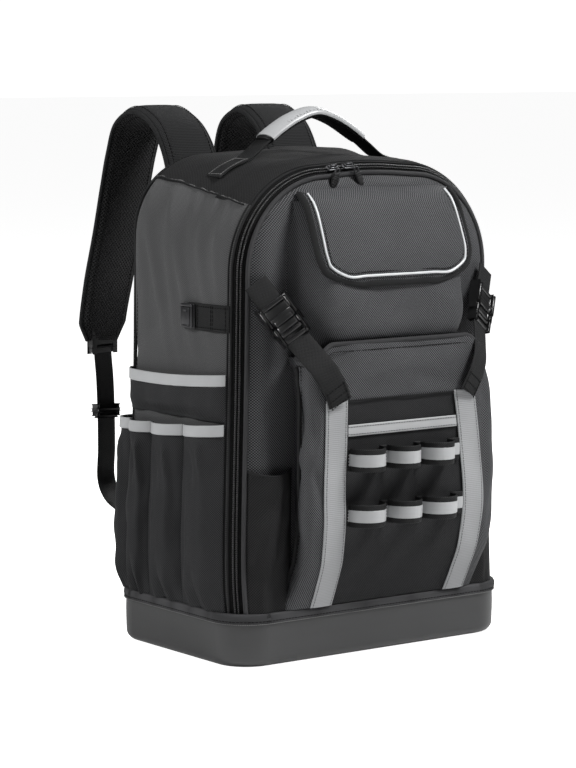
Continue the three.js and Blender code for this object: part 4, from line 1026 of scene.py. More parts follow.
def pocket_plan(u, root, half, root_y, front_y, bend):
    """Plan of a pocket from the panel round two corners, u from left to right"""
    step = 5 * np.minimum(u, 1 - u)
    side_long = np.hypot(root - half, root_y - front_y)
    back = np.minimum(0.7, bend / side_long)
    bx, by = mix(-half, -root, back), mix(front_y, root_y, back)
    ax = mix(-half, half, bend / (2 * half))
    t = clamp(step - 1)
    turn_x = (1 - t) ** 2 * bx - 2 * t * (1 - t) * half + t * t * ax
    turn_y = (1 - t) ** 2 * by + 2 * t * (1 - t) * front_y + t * t * front_y
    x = np.where(step < 1, mix(-root, bx, clamp(step)), turn_x)
    y = np.where(step < 1, mix(root_y, by, clamp(step)), turn_y)
    x = np.where(step > 2, mix(ax, 0, clamp((step - 2) * 2)), x)
    return np.where(u > 0.5, -x, x), y


PLAN = spans((0, 1, 8), (1, 2, 16), (2, 3, 64), (3, 4, 16), (4, 5, 8)) / 5


def on_upper(u, v):
    """Point of the upper pocket: u round it, v up it"""
    deep = upper.deep * read(UPPER_RISE, "deep", v)
    root = upper.root_half * read(UPPER_RISE, "root", v)
    x, y = pocket_plan(u, root, upper.front_half, panel_front + 4, panel_front - deep, upper.corner)
    return vec(x, y, mix(upper.low, upper.high, v))


def upper_height(u, v):
    """Soft front of the pocket under the flap"""
    x = on_upper(u, v)[..., 0]
    z = mix(upper.low, upper.high, v)
    return (creases(x, z, UPPER_FOLDS) + 0.9 * rumple(x, z, 80, 12)) * smooth(v * 8)


def flap_half(down):
    """Half the flap's width, rounded towards its lower corners"""
    low = clamp(1 - (1 - down) * (flap.high - flap.low) / flap.corner)
    return flap.half * mix(0.98, 1, down) - flap.corner * (1 - np.sqrt(1 - low * low * 0.9999))


def on_flap(across, down):
    """Point of the flap: across from -1 to 1, down from its seam"""
    y = panel_front - flap.deep * read(FLAP_FALL, "deep", down) + 3.5 * np.abs(across) ** 4
    return vec(across * flap_half(down), y, mix(flap.high, flap.low, down))


def flap_height(across, down):
    """Puff and soft folds of the flap"""
    edge = np.maximum(np.abs(across), down)
    x, fall = across * flap.half, down * 90
    return 2.2 * (1 - clamp(edge) ** 8) + 0.5 * rumple(x, fall, 90, 21) + creases(x, fall, FLAP_FOLDS)


def flap_edge(inset, out, count=150):
    """Line down both sides of the flap and along its lower edge"""
    share = 1 - inset / flap.half
    low = 1 - inset / (flap.high - flap.low)
    downs = np.array([0.03, 0.12, 0.25, 0.45, 0.6, 0.7, 0.8, 0.87]) * low
    base = np.array([-0.84, -0.55, -0.2, 0.2, 0.55, 0.84]) * share
    left, low_edge = on_flap(-share, downs), on_flap(base, np.full(len(base), low))
    line = np.vstack([left, low_edge, flipped(left)[::-1]])
    return spline(line - vec(0, out, 0), count)


def build_upper():
    look = finishes()
    mesh = cloth_mesh(on_upper, PLAN, spans((0, 0.1, 12), (0.1, 1, 50)), CLOTH,
                      height=upper_height, planar=True)
    add_piece("upper_pocket_cloth", mesh, look.cloth, ["upper_pocket"])
    downs = spans((0, 0.6, 30), (0.6, 0.9, 26), (0.9, 1, 20))
    pad = cloth_mesh(on_flap, np.linspace(-1, 1, 90), downs, flap.thick, -1, flap_height, True)
    add_piece("flap_pad", pad, look.cloth, ["pocket_flap"])
    roll("flap_roll", [flap_edge(0, -flap.thick / 2)], 3.4, look.trim, replaces=["flap_binding"])
    roll("flap_silver", [flap_edge(flap.binding + 0.6, 1.2)], flap.piping / 2, look.silver,
         replaces=["flap_piping"])
    stitches("flap_stitches", [flap_edge(flap.binding - 2.4, 1.8), flap_edge(flap.binding + 4.2, 1.6)],
             look.dark_thread)


def lower_section(z):
    """Half width, half width at the root, lean and front of the lower pocket"""
    up = (z - binding_top) / (lower.lip - binding_top)
    half = lower.half * read(LOWER_RISE, "wide", up)
    root = half - lower.root * read(LOWER_RISE, "tuck", up)
    lean = lower.half * read(LOWER_RISE, "lean", up)
    return half, root, lean, panel_front - lower.deep * read(LOWER_RISE, "deep", up)


def on_lower(u, v):
    """Point of the lower pocket, with its lip falling to the wings"""
    half, root, _, front = lower_section(mix(mouth_foot, lower.lip, v))
    flat_x, _ = pocket_plan(u, root, half, panel_front + 4, front, lower.bend)
    drop = lower.wing * smooth((np.abs(flat_x) - lower.lip_half + 6) / 22)
    z = mix(mouth_foot, lower.lip - drop, v)
    half, root, lean, front = lower_section(z)
    x, y = pocket_plan(u, root, half, panel_front + 4, front, lower.bend)
    return vec(x + lean, y, z)


def lower_height(u, v):
    """Folds and dents of the lower pocket, flat where trim is sewn on"""
    point = on_lower(u, v)
    x, z = point[..., 0], point[..., 2]
    sewn = strip_cover(x, z)
    dents = creases(x, z, LOWER_FOLDS) + 0.9 * rumple(x, z, 70, 31)
    lap = -0.9 * (z < lower.seam) * (np.abs(x) < strip.half)
    return dents * smooth(v * 10) * (1 - sewn) + lap * smooth((strip.half - np.abs(x)) / 10)


def strip_cover(x, z):
    """One where trim or a loop is sewn to the lower pocket, easing to none"""
    cover = 0 * x
    for sign in (-1, 1):
        away = np.abs(x - strip_x(sign, z)) - strip.wide / 2
        cover = np.maximum(cover, smooth(1 - away / 9) * smooth((strip.high + 8 - z) / 8))
    between = smooth((strip.half - np.abs(x)) / 6) * smooth((crossband.z + 26 - z) / 16)
    return np.maximum(cover, between)


def on_bib(x, z, out):
    """Point in front of the lower pocket's face"""
    return vec(x, lower_section(z)[3] - out, z)


def strip_x(sign, z):
    """Middle of a reflective strip at a height"""
    up = (z - mouth_foot) / (strip.high - mouth_foot)
    return strip.half * (sign * read(STRIP_RISE, "apart", up) + read(STRIP_RISE, "lean", up))


def between_strips(share, z):
    """Place across, as a share of the gap between the strips"""
    inset = strip.wide / 2 + strip.clear
    return mix(strip_x(-1, z) + inset, strip_x(1, z) - inset, share)


def build_lower():
    look = finishes()
    vs = spans((0, 0.12, 14), (0.12, 0.9, 72), (0.9, 1, 14))
    mesh = cloth_mesh(on_lower, PLAN, vs, CLOTH, height=lower_height, planar=True)
    # Between the strips and below the seam the pocket takes the darker copy of the front cloth, painted
    # shade behind the tool loops
    finish = two_cloths(mesh, look.cloth, look.bib, lambda x, y, z: (z < lower.seam) & (y < panel_front - 10)
                        & (x > strip_x(-1, z)) & (x < strip_x(1, z)))
    add_piece("lower_pocket_cloth", mesh, finish, ["lower_pocket"])
    us = np.linspace(0.2, 0.8, 120)
    lip = on_lower(us, np.ones(120)) + vec(0, CLOTH / 2, 0.8)
    roll("lower_lip_roll", [lip], 2.3, look.piping, replaces=["lower_pocket_lip"])
    vs = np.linspace(0.02, 0.97, 120)
    edges = [lifted(on_lower, u, vs, 1.0) for u in (0.2, 0.8)]
    roll("lower_edge_rolls", edges, 2.2, look.trim)
    xs = np.linspace(-strip.half - 10, strip.half + 10, 80)
    roll("lower_seam_roll", [on_bib(xs, lower.seam, 0.7)], 0.7, look.trim)
    below = lifted(on_lower, us, 1 - 6.5 / (lower.lip - mouth_foot), 0.6)
    inner = [lifted(on_lower, u, vs, 0.8) for u in (0.23, 0.77)]
    stitches("lower_stitches", [below, *inner], look.dark_thread)


def trim_place(across, thick):
    """Flat trim on the lower pocket: u across it and z up it"""
    return lambda u, z: on_bib(across(u, z), z, GAP + thick)


def build_strips():
    look = finishes()
    lines = []
    for place, sign in (("left", -1), ("right", 1)):
        across = lambda u, z: strip_x(sign, z) + strip.wide * (u - 0.5)
        zs = np.linspace(mouth_foot, strip.high, 90)
        mesh = cloth_mesh(trim_place(across, strip.thick), even(9), zs,
                          strip.thick, height=lambda u, z: 0.35 * rumple(u * 25, z, 60, 44))
        add_piece(f"strip_tape_{place}", mesh, look.reflective, [f"reflective_strip_{place}"])
        lines += [on_bib(strip_x(sign, zs) + strip.wide * share, zs, GAP + strip.thick + 0.5)
                  for share in (-0.42, 0.42)]
    low, high = crossband.z - crossband.wide / 2, crossband.z + crossband.wide / 2
    mesh = cloth_mesh(trim_place(between_strips, crossband.thick), even(50),
                      np.linspace(low, high, 7), crossband.thick)
    add_piece("crossband_tape", mesh, look.satin, ["crossband"])
    shares = even(60)
    lines += [on_bib(between_strips(shares, z), z, GAP + crossband.thick + 0.4)
              for z in (low + 1.4, high - 1.4)]
    stitches("strip_stitches", lines, look.dark_thread, long=0.0024, thin=0.5)


def build_loops():
    look = finishes()
    for name, z in (("upper", loops.upper_z), ("lower", loops.lower_z)):
        us = np.unique(np.concatenate([even(12)]
                                      + [mix(a, b, (1 - np.cos(np.linspace(0, math.pi, 24))) / 2)
                                         for a, b in LOOP_SPANS]))

        def bulge(u):
            total = 0 * u
            for a, b in LOOP_SPANS:
                share = 2 * (u - a) / (b - a) - 1
                total = total + loops.bulge * np.sqrt(np.clip(1 - share ** 2, 0, None))
            return total

        def place(u, v):
            return on_bib(between_strips(u, z), z + loops.wide * v, GAP + loops.thick + 0.2 + bulge(u))

        mesh = cloth_mesh(place, us, np.linspace(-0.5, 0.5, 9), loops.thick)
        add_piece(f"loops_{name}", mesh, look.webbing, [f"tool_loops_{name}"])
        face = lambda u, v: place(u, v) - vec(0, 0.5, 0)
        mesh = cloth_mesh(face, us, np.linspace(-0.27, 0.27, 5), 0.5)
        add_piece(f"loop_stripe_{name}", mesh, look.satin)
        bars = [a - 0.012 for a, _ in LOOP_SPANS] + [b + 0.012 for _, b in LOOP_SPANS]
        tacks = [on_bib(between_strips(u, z), np.linspace(z - 9, z + 9, 14), GAP + loops.thick + 1.0)
                 for u in bars]
        stitches(f"loop_tacks_{name}", tacks, look.dark_thread, long=0.002)


# Left side and the open pouches

def on_side(t, z, out):
    """Point on the left side, t along it from its middle towards the back, round both corners"""
    half, deep = body_half(z), body_deep(z)
    points = 0
    for radius, sign, past in ((bag.front_edge, -1, -back_y + bag.front_edge - t),
                               (bag.back_edge, 1, t - (back_y - bag.back_edge))):
        angle = np.clip(past / radius, 0, math.pi / 2)
        beyond = np.maximum(0, past - radius * math.pi / 2)
        turned = vec(-half + radius - (radius + out) * np.cos(angle) + beyond,
                     sign * (back_y - radius + (radius + out) * np.sin(angle)) * deep, z)
        points = np.where((past > 0)[..., None], turned, points)
    straight = (t >= -back_y + bag.front_edge) & (t <= back_y - bag.back_edge)
    return np.where(straight[..., None], vec(-half - out, t * deep, z), points)


def side_top(share, high, drop):
    """Upper edge of a side pocket, falling and sagging"""
    return high - drop * share - 2.5 * np.sin(np.pi * share)


def side_t(share):
    """Place along the side for a share of the row of pockets"""
    return mix(side.front, side.back, share)


def pocket_out(out, across, v):
    """How far a tool pocket stands out"""
    return side.bulge * out * np.sin(np.pi * clamp(across)) ** 0.75 * read(POCKET_RISE, "out", v)


def build_side_pockets():
    look = finishes()
    for i, (start, end, out) in enumerate(TOOL_POCKETS):
        def place(u, v):
            share = mix(start, end, u)
            top = side_top(share, side.high, side.drop)
            return on_side(side_t(share), mix(mouth_foot, top, v), GAP + CLOTH + pocket_out(out, u, v))

        def height(u, v):
            edge = smooth(np.minimum(u, 1 - u) * 8) * smooth((0.93 - v) * 12)
            return edge * (creases(u, v, POCKET_FOLDS) + 0.7 * rumple(u * 60, v * 180, 46, 50 + i))

        us = 0.5 - 0.5 * np.cos(np.linspace(0, math.pi, 34))
        mesh = cloth_mesh(place, mix(0.004, 0.996, us), even(70), CLOTH * 0.8, -1, height)
        add_piece(f"tool_pocket_cloth_{i + 1}", mesh, look.pocket_cloth, [f"tool_pocket_{i + 1}"])

        def on_band(u, v):
            share = mix(start, end, u)
            top = side_top(share, side.high, side.drop) + 0.6
            up = 1 - (1 - v) * band.wide / (top - binding_top)
            return on_side(side_t(share), mix(top - band.wide, top, v),
                           GAP + CLOTH + band.thick + pocket_out(out, u, up) + 0.3 + 0.9 * (1 - u))

        mesh = cloth_mesh(on_band, us, even(5), band.thick, -1)
        add_piece(f"pocket_band_{i + 1}", mesh, look.satin, ["tool_pocket_band"])

    def upper_out(u):
        return side_upper.bulge * np.sin(np.pi * clamp(u)) ** 0.5

    def place(u, v):
        t = mix(side.front, side_upper.back, u)
        top = side_top(u, side_upper.high, side_upper.drop)
        return on_side(t, mix(side_upper.foot, top, v), GAP + CLOTH + upper_out(u) * smooth(v * 3))

    def on_band(u, v):
        t = mix(side.front, side_upper.back, u)
        top = side_top(u, side_upper.high, side_upper.drop) + 0.6
        return on_side(t, mix(top - band.wide, top, v), GAP + CLOTH + band.thick + upper_out(u) + 0.3)

    us = even(90)
    mesh = cloth_mesh(place, us, even(20), CLOTH * 0.8, -1,
                      lambda u, v: 0.7 * rumple(u * 168, v * 45, 50, 61))
    add_piece("side_pocket_cloth", mesh, look.pocket_cloth, ["side_pocket_upper"])
    mesh = cloth_mesh(on_band, us, even(5), band.thick, -1)
    add_piece("side_band_tape", mesh, look.satin, ["side_pocket_band"])


def build_stash():
    look = finishes()
    start = -back_y + bag.front_edge - FRONT_ROUND * 0.5 - 4.5 * math.sqrt(2) - 2
    end = -back_y + bag.front_edge - FRONT_ROUND - (bag.width / 2 - bag.front_edge - stash.inner)

    def place(u, v):
        full = np.sin(np.pi * clamp(u)) * smooth(v * 1.6) * stash.bulge
        z = mix(mouth_foot, stash.high - 5 * np.sin(np.pi * clamp(u)), v)
        return on_side(mix(start, end, u), z, GAP + CLOTH + full)

    def height(u, v):
        folds = creases(u, v, STASH_FOLDS) + 0.6 * rumple(u * 60, v * 137, 40, 71)
        return folds * smooth(np.minimum(u, 1 - u) * 6)

    mesh = cloth_mesh(place, even(44), even(60), CLOTH * 0.8, 1, height)
    add_pair("stash_cloth", mesh, look.gusset, "stash_pouch")
    line = np.stack([place(u, 1.0) for u in np.linspace(0.02, 0.98, 50)]) + vec(0, 0.8, 0)
    roll("stash_lips", [line, flipped(line)], 1.3, look.trim)


def build_tape_tab():
    look = finishes()

    def place(u, v):
        up = tape_tab.z + tape_tab.wide * (v - 0.5)
        return on_side(mix(tape_tab.front, tape_tab.back, u), up, GAP + tape_tab.thick)

    mesh = cloth_mesh(place, even(40), even(9), tape_tab.thick + 0.4, -1)
    add_piece("tape_tab_webbing", mesh, look.webbing, ["tape_band"])
    us, vs = np.linspace(0.03, 0.97, 60), np.linspace(0.08, 0.92, 24)
    lines = [lifted(place, us, v, 0.2, -1) for v in (0.08, 0.92)]
    lines += [lifted(place, u, vs, 0.2, -1) for u in (0.05, 0.3, 0.34, 0.66)]
    stitches("tape_tab_stitches", lines, look.dark_thread)
    middle = on_side(np.float64(tape_tab.back - 10), np.float64(tape_tab.z), 2 * GAP + tape_tab.thick)
    axes = ((0, 1, 0), (0, 0, 1), (-1, 0, 0))
    clip = blocks_mesh(middle, axes, [
        (0, 0, 1.2, 20, 24, 2.0), (-8, 0, 3.2, 3, 22, 3.0), (8, 0, 3.2, 3, 22, 3.0),
        (0, 10.4, 3.4, 18, 3, 3.0), (0, -1, 4.6, 13, 19, 1.6), (0, -9.6, 5.4, 11, 2.4, 1.8),
        (0, 6, 5.6, 5, 3, 1.0)], 1.0)
    add_piece("tape_clip_plate", clip, look.metal, ["tape_clip"])


# Compression straps with their buckles

def strap_line(share):
    """Point of the compression strap between its ends"""
    return mix(STRAP_ENDS[0], STRAP_ENDS[1], np.asarray(share, float)[..., None])


def build_compression():
    look = finishes()
    section = flat_section(webbing.wide, webbing.thick)
    path = strap_line(np.linspace(0.06, buckle.at - 0.09, 30))
    add_pair("strap_upper", sweep_mesh(path, STRAP_ACROSS, section), look.webbing, "compression_upper")
    points = np.vstack([strap_line(np.array([buckle.at + 0.1])), STRAP_TAIL])
    path = spline(points, 60)
    mesh = sweep_mesh(path, STRAP_ACROSS, section)
    add_pair("strap_lower", mesh, look.webbing, "compression_lower")
    along = unit(STRAP_ENDS[1] - STRAP_ENDS[0])
    across = unit(STRAP_ACROSS - along * (STRAP_ACROSS @ along))
    out = np.cross(along, across)
    middle = strap_line(buckle.at) + out * 0.5
    socket = [(-17, 0, 0, 4.4, 34, 7), (-9, 0, 0.2, 11, 26, 5.2), (-8, 14.6, 0, 20, 4.6, 8.6),
              (-8, -14.6, 0, 20, 4.6, 8.6), (-1.5, 0, 0.6, 9, 27, 7.4), (0.5, 0, 3.6, 5, 20, 1.8)]
    plug = [(7, 0, 0.2, 7, 22, 5.6), (12, 13.4, 0, 20, 4.4, 7), (12, -13.4, 0, 20, 4.4, 7),
            (20.6, 0, 0.4, 4.2, 30, 6.4), (13.6, 0, 1.2, 3.6, 25, 4.4), (5.5, 16.2, 0, 9, 3, 6.2),
            (5.5, -16.2, 0, 9, 3, 6.2)]
    for name, rows, node in (("buckle_shell", socket, "buckle_socket"),
                             ("buckle_tongue", plug, "buckle_plug")):
        mesh = blocks_mesh(middle, (along, across, out), rows, 1.6)
        add_pair(name, mesh, look.plastic, node)
    lines = []
    tail = path[-12:]
    for side_share in (-0.4, 0.4):
        lines.append(tail + across * webbing.wide * side_share + out * 1.4)
    for k in (0, 6, 11):
        lines.append(tail[k] + across * np.linspace(-10, 10, 12)[:, None] + out * 1.4)
    lines += [flipped(line) for line in lines]
    stitches("strap_box_stitches", lines, look.dark_thread, long=0.0022)


# Carry handle

def top_height(x):
    """Height of the body's top at a distance x from its middle"""
    a = np.linspace(0.5, 0.8, 3000)
    line = on_body(a, FRONT_ROUND + back_y - bag.front_edge)
    return float(np.interp(abs(x), line[:, 0], line[:, 2]))


def handle_line(count):
    """Line of the handle from foot to foot"""
    lift = GAP + webbing.thick / 2
    leave = handle.leave
    rise = lambda x: handle.top - (handle.top - top_height(leave)) * (x / leave) ** 1.6
    half = [(x, 0, top_height(x) + lift * share)
            for x, share in ((handle.foot, 1.25), ((handle.foot + leave) / 2 + 3, 1.25), (leave, 1.6))]
    half = np.array(half + [(leave * s, 0, rise(leave * s)) for s in (0.8, 0.55, 0.28)])
    return spline(np.vstack([half, [(0, 0, handle.top)], flipped(half)[::-1]]), count)


def build_handle():
    look = finishes()
    path = handle_line(160)
    mesh = sweep_mesh(path, (0, 1, 0), flat_section(webbing.wide, webbing.thick))
    add_piece("handle_webbing", mesh, look.webbing, ["carry_handle"])
    grip = path[np.abs(path[:, 0]) < handle.grip]
    share = np.linspace(-1, 1, len(grip))
    end = 1 - 0.2 * np.abs(share) ** 8
    knurl = 1 + 0.025 * np.sin(share * 2 * np.pi * 22)
    section = oval_section(handle.grip_wide, handle.grip_thick, 24, 2.6)[None] * end[:, None, None]
    section = section * np.stack([np.ones(len(grip)), knurl], -1)[:, None, :]
    add_piece("grip_wrap", sweep_mesh(grip, (0, 1, 0), section), look.grip, ["handle_grip"])
    angle = np.radians(np.linspace(-12, 192, 26))
    half = np.array([handle.grip_wide / 2 + 0.6, handle.grip_thick / 2 + 0.8])
    outer = np.stack([np.cos(angle), -np.sin(angle)], -1) * half
    section = np.vstack([outer, outer[::-1] * np.array([0.95, 0.86])])
    add_piece("grip_cover", sweep_mesh(grip[2:-2], (0, 1, 0), section), look.satin)
    lines = []
    for sign in (-1, 1):
        xs = np.linspace(handle.leave + 4, handle.foot - 3, 24)
        heights = np.array([top_height(x) for x in xs]) + 2.6
        for y in (-9.5, 9.5):
            lines.append(vec(sign * xs, y, heights))
        for k in (0, 23):
            lines.append(vec(np.full(14, sign * xs[k]), np.linspace(-9.5, 9.5, 14), heights[k]))
    stitches("handle_stitches", lines, look.thread, long=0.0024)


# Shoulder straps, their lower webbing and the chest strap

STRAP_STEPS = 150


def strap_x(out):
    return -shoulder.x - out


def strap_path(count):
    """Line of a shoulder strap, its direction across, width and thickness"""
    rows = np.stack([strap_x(STRAP_ROUTE["out"]), STRAP_ROUTE["y"], STRAP_ROUTE["z"]], -1)
    path = spline(rows, count)
    run = run_of(rows)
    at = np.linspace(0, run[-1], count)
    value = lambda column: np.interp(at, run, STRAP_ROUTE[column])
    yaw = np.radians(value("yaw"))
    return path, vec(np.cos(yaw), np.sin(yaw), 0), value("wide"), value("thick")


def build_straps():
    look = finishes()
    path, across, wide, thick = strap_path(STRAP_STEPS)
    angle = np.linspace(0, 2 * math.pi, 32, endpoint=False)
    shape = np.stack([np.sign(np.cos(angle)) * np.abs(np.cos(angle)) ** 0.5,
                      np.sign(np.sin(angle)) * np.abs(np.sin(angle)) ** 0.8], -1)
    puff = 1 + 0.03 * rumple(np.arange(STRAP_STEPS) * 4.0, np.zeros(STRAP_STEPS), 60, 81)
    scale = np.stack([wide * shoulder.wide / 2 - 1.5, thick * puff * shoulder.thick / 2], -1)
    mesh = sweep_mesh(path, across, shape[None] * scale[:, None, :])
    finish = split_finish(mesh, look.mesh, look.ribbed, np.arange(len(mesh.polygons)) % 32 >= 16)
    for place, shape_mesh in (("left", mesh), ("right", mirror_mesh(mesh))):
        piece = add_piece(f"strap_pad_{place}", shape_mesh, finish, [f"shoulder_strap_{place}"])
    edges = []
    for sign in (-1, 1):
        edge = path + across * (sign * (wide * shoulder.wide / 2 - 0.6))[:, None]
        edges += [edge, flipped(edge)]
    roll("strap_edge_rolls", edges, 2.3, look.trim)
    inner = []
    along = unit(np.gradient(path, axis=0))
    out = unit(np.cross(along, across))
    for sign in (-1, 1):
        line = path + across * (sign * (wide * shoulder.wide / 2 - 7))[:, None]
        inner += [line + out * (thick * shoulder.thick / 2 * face * 0.86)[:, None] for face in (-1, 1)]
    stitches("strap_edge_stitches", inner + [flipped(line) for line in inner], look.dark_thread)


def build_strap_tails():
    look = finishes()
    rows = np.stack([strap_x(LOWER_ROUTE["out"]), LOWER_ROUTE["y"], LOWER_ROUTE["z"]], -1)
    route = spline(rows, 120)
    mesh = sweep_mesh(route, TAIL_ACROSS, flat_section(webbing.wide, webbing.thick))
    add_pair("strap_tail", mesh, look.webbing, "strap_webbing")
    keeper = [(0, 0, 4, 3.6, 32, 3.4), (0, 0, -4, 3.6, 32, 3.4), (0, 14.6, 0, 13, 4, 9),
              (0, -14.6, 0, 13, 4, 9), (7, 0, 0, 3, 30, 5)]
    lock = [(-9, 0, 0, 4, 33, 7), (0, 0, 2.6, 3.6, 30, 3.6), (9, 0, 0, 4, 33, 6), (0, 15, 0, 24, 4, 8),
            (0, -15, 0, 24, 4, 8)]
    for name, z, rows, node in (("strap_keeper", adjuster.z, keeper, "strap_adjuster"),
                                ("strap_lock", adjuster.lock_z, lock, None)):
        k = int(np.argmin(np.abs(route[:, 2] - z)))
        along_here = unit(route[k + 1] - route[k - 1])
        wide_here = unit(TAIL_ACROSS - along_here * (TAIL_ACROSS @ along_here))
        axes = (along_here, wide_here, np.cross(along_here, wide_here))
        add_pair(name, blocks_mesh(route[k], axes, rows, 1.4), look.plastic, node)


def build_chest_strap():
    look = finishes()
    path, across, _, _ = strap_path(STRAP_STEPS)
    k = int(np.argmin(np.abs(path[:, 2] - sternum.z) + (path[:, 1] < 200) * 900))
    start = path[k] + across[k] * shoulder.wide * 0.1
    y = start[1] + shoulder.thick / 2 + GAP + sternum.thick
    points = [(start[0], y - 1.5, sternum.z), (start[0] * 0.65, y + 3, sternum.z - 2),
              (start[0] * 0.3, y + 5, sternum.z - 4), (-6, y + 5, sternum.z - 4)]
    mesh = sweep_mesh(spline(points, 40), (0, 0, 1), flat_section(sternum.wide, sternum.thick))
    add_pair("chest_strap", mesh, look.webbing, "sternum_webbing")
    middle = (0, y + 5, sternum.z - 4)
    clip = blocks_mesh(middle, ((1, 0, 0), (0, 0, 1), (0, -1, 0)), [
        (-10, 0, 0, 24, 24, 7), (9, 0, 0, 18, 20, 6), (20, 0, 0, 4, 24, 6), (-21, 0, 0, 4, 26, 6),
        (10, 11, 0, 16, 3, 5), (10, -11, 0, 16, 3, 5)], 1.6)
    add_piece("chest_clip", clip, look.plastic, ["sternum_buckle"])


def build_back():
    look = finishes()
    low, high = back_panel.low, back_panel.high

    def place(u, v):
        s, w = 2 * u - 1, 2 * v - 1
        pinch = np.sqrt(np.maximum(0, 1 - np.abs(w) ** 8 * 0.2))
        puff = back_panel.thick * (1 - np.maximum(np.abs(s), np.abs(w)) ** 6 * 0.7)
        z = mix(low, high, v)
        return vec(back_panel.half * s * pinch, back_y * body_deep(z) + GAP + puff, z)

    def height(u, v):
        channel = np.exp(-((u - 0.5) / 0.05) ** 2) * smooth(v * 12) * smooth((1 - v) * 12)
        ribs_across = sum(np.exp(-((v - at) / 0.02) ** 2) for at in (0.3, 0.55, 0.8))
        return -4.0 * channel - 2.0 * ribs_across * smooth((0.46 - np.abs(u - 0.5)) * 30)

    mesh = cloth_mesh(place, even(60), even(90), back_panel.thick - 1, -1, height)
    add_piece("back_pad", mesh, look.mesh, ["back_panel"])
    across, up = even(60), even(90)[1:-1]
    us = np.concatenate([across, 1 + 0 * up, across[::-1], 0 * up])
    vs = np.concatenate([0 * across, up, 1 + 0 * across, up])
    roll("back_pad_roll", [place(us, vs) - vec(0, 1.0, 0)], 2.6, look.trim, closed=True)


# Camera, lights and floor

CAMERA_AT = Vector((-1.7305, -2.2928, 0.5879))
CAMERA_AIM = Vector((0.5921, 0.7976, -0.1151))
LENS = 134.24
SENSOR = 36
CLIP_END = 100
FLOOR_REACH = 30
ROOM_GLOW = 1.1
LAMPS_AIM = Vector((0, 0, 0.28))
WHITE = (1, 1, 1, 1)

# Lamps: name, place in metres, size and power
LAMPS = [("side", (-2.2, 0.8, 1.9), 0.8, 66), ("front", (0.9, -1.4, 2.2), 0.7, 96),
         ("camera_side", (-2.2, -2.2, 0.9), 1.2, 7), ("rim", (2.2, 1.6, 1.6), 0.9, 20)]


def place_in(scene, name, data, place, aim):
    """Camera or lamp at a place in metres, turned along its aim"""
    made = bpy.data.objects.new(name, data)
    made.location = place
    made.rotation_mode = "QUATERNION"
    made.rotation_quaternion = aim.to_track_quat("-Z", "Y")
    scene.collection.objects.link(made)
    return made


def camera_ray(graph):
    """One for what the camera sees itself"""
    return graph.node("ShaderNodeLightPath").outputs["Is Camera Ray"]


def build_stage():
    scene = bpy.context.scene
    look = scene.bag_look
    data = bpy.data.cameras.new("photo_camera")
    data.lens = LENS
    data.sensor_width = SENSOR
    data.clip_end = CLIP_END
    scene.camera = place_in(scene, "photo_camera", data, CAMERA_AT, CAMERA_AIM)
    mesh = bpy.data.meshes.new("floor")
    corners = [(x * FLOOR_REACH, y * FLOOR_REACH, 0) for x, y in ((-1, -1), (1, -1), (1, 1), (-1, 1))]
    mesh.from_pydata(corners, [], [(0, 1, 2, 3)])
    material = bpy.data.materials.new("Pale floor")
    material.use_nodes = True
    graph = Graph(material.node_tree)
    glow = graph.math("MULTIPLY", camera_ray(graph), look.floor_glow)
    shader = graph.node("ShaderNodeBsdfPrincipled", {"Base Color": (*look.floor, 1), "Roughness": 0.9,
                                                     "Emission Color": WHITE, "Emission Strength": glow})
    graph.node("ShaderNodeOutputMaterial", {"Surface": shader.outputs[0]})
    mesh.materials.append(material)
    floor = bpy.data.objects.new("floor", mesh)
    scene.collection.objects.link(floor)
    world = bpy.data.worlds.new("Studio")
    world.use_nodes = True
    graph = Graph(world.node_tree)
    strength = graph.math("MULTIPLY_ADD", camera_ray(graph), ROOM_GLOW - look.fill, look.fill)
    room = graph.node("ShaderNodeBackground", {"Color": WHITE, "Strength": strength}).outputs[0]
    graph.node("ShaderNodeOutputWorld", {"Surface": room})
    scene.world = world
    scene.view_settings.view_transform = "Standard"
    for name, place, size, power in LAMPS:
        lamp = bpy.data.lights.new(name, "AREA")
        lamp.size = size
        lamp.energy = power * look.key
        place_in(scene, name, lamp, place, LAMPS_AIM - Vector(place))


# The add-on

def length(name, description, default):
    """Property for a length in metres"""
    return bpy.props.FloatProperty(name=name, description=description, default=default, min=0, precision=5,
                                   subtype="DISTANCE", unit="LENGTH")


def colour(name, description, default):
    """Property for a colour"""
    return bpy.props.FloatVectorProperty(name=name, description=description, default=default, size=3, min=0,
                                         max=1, subtype="COLOR")


class BagSizes(bpy.types.PropertyGroup):
    """Sizes of the weave, the ribs and the thread"""
    yarn: length("Yarn", "Width of one yarn of the weave", 0.0013)
    rib: length("Rib", "Distance between the ribs of a tape", 0.0012)
    net: length("Net", "Size of a diamond of the spacer mesh", 0.0042)
    stitch: length("Stitch", "Length of one stitch", 0.0028)
    thread: length("Thread", "Thickness of the sewing thread", 0.0008)


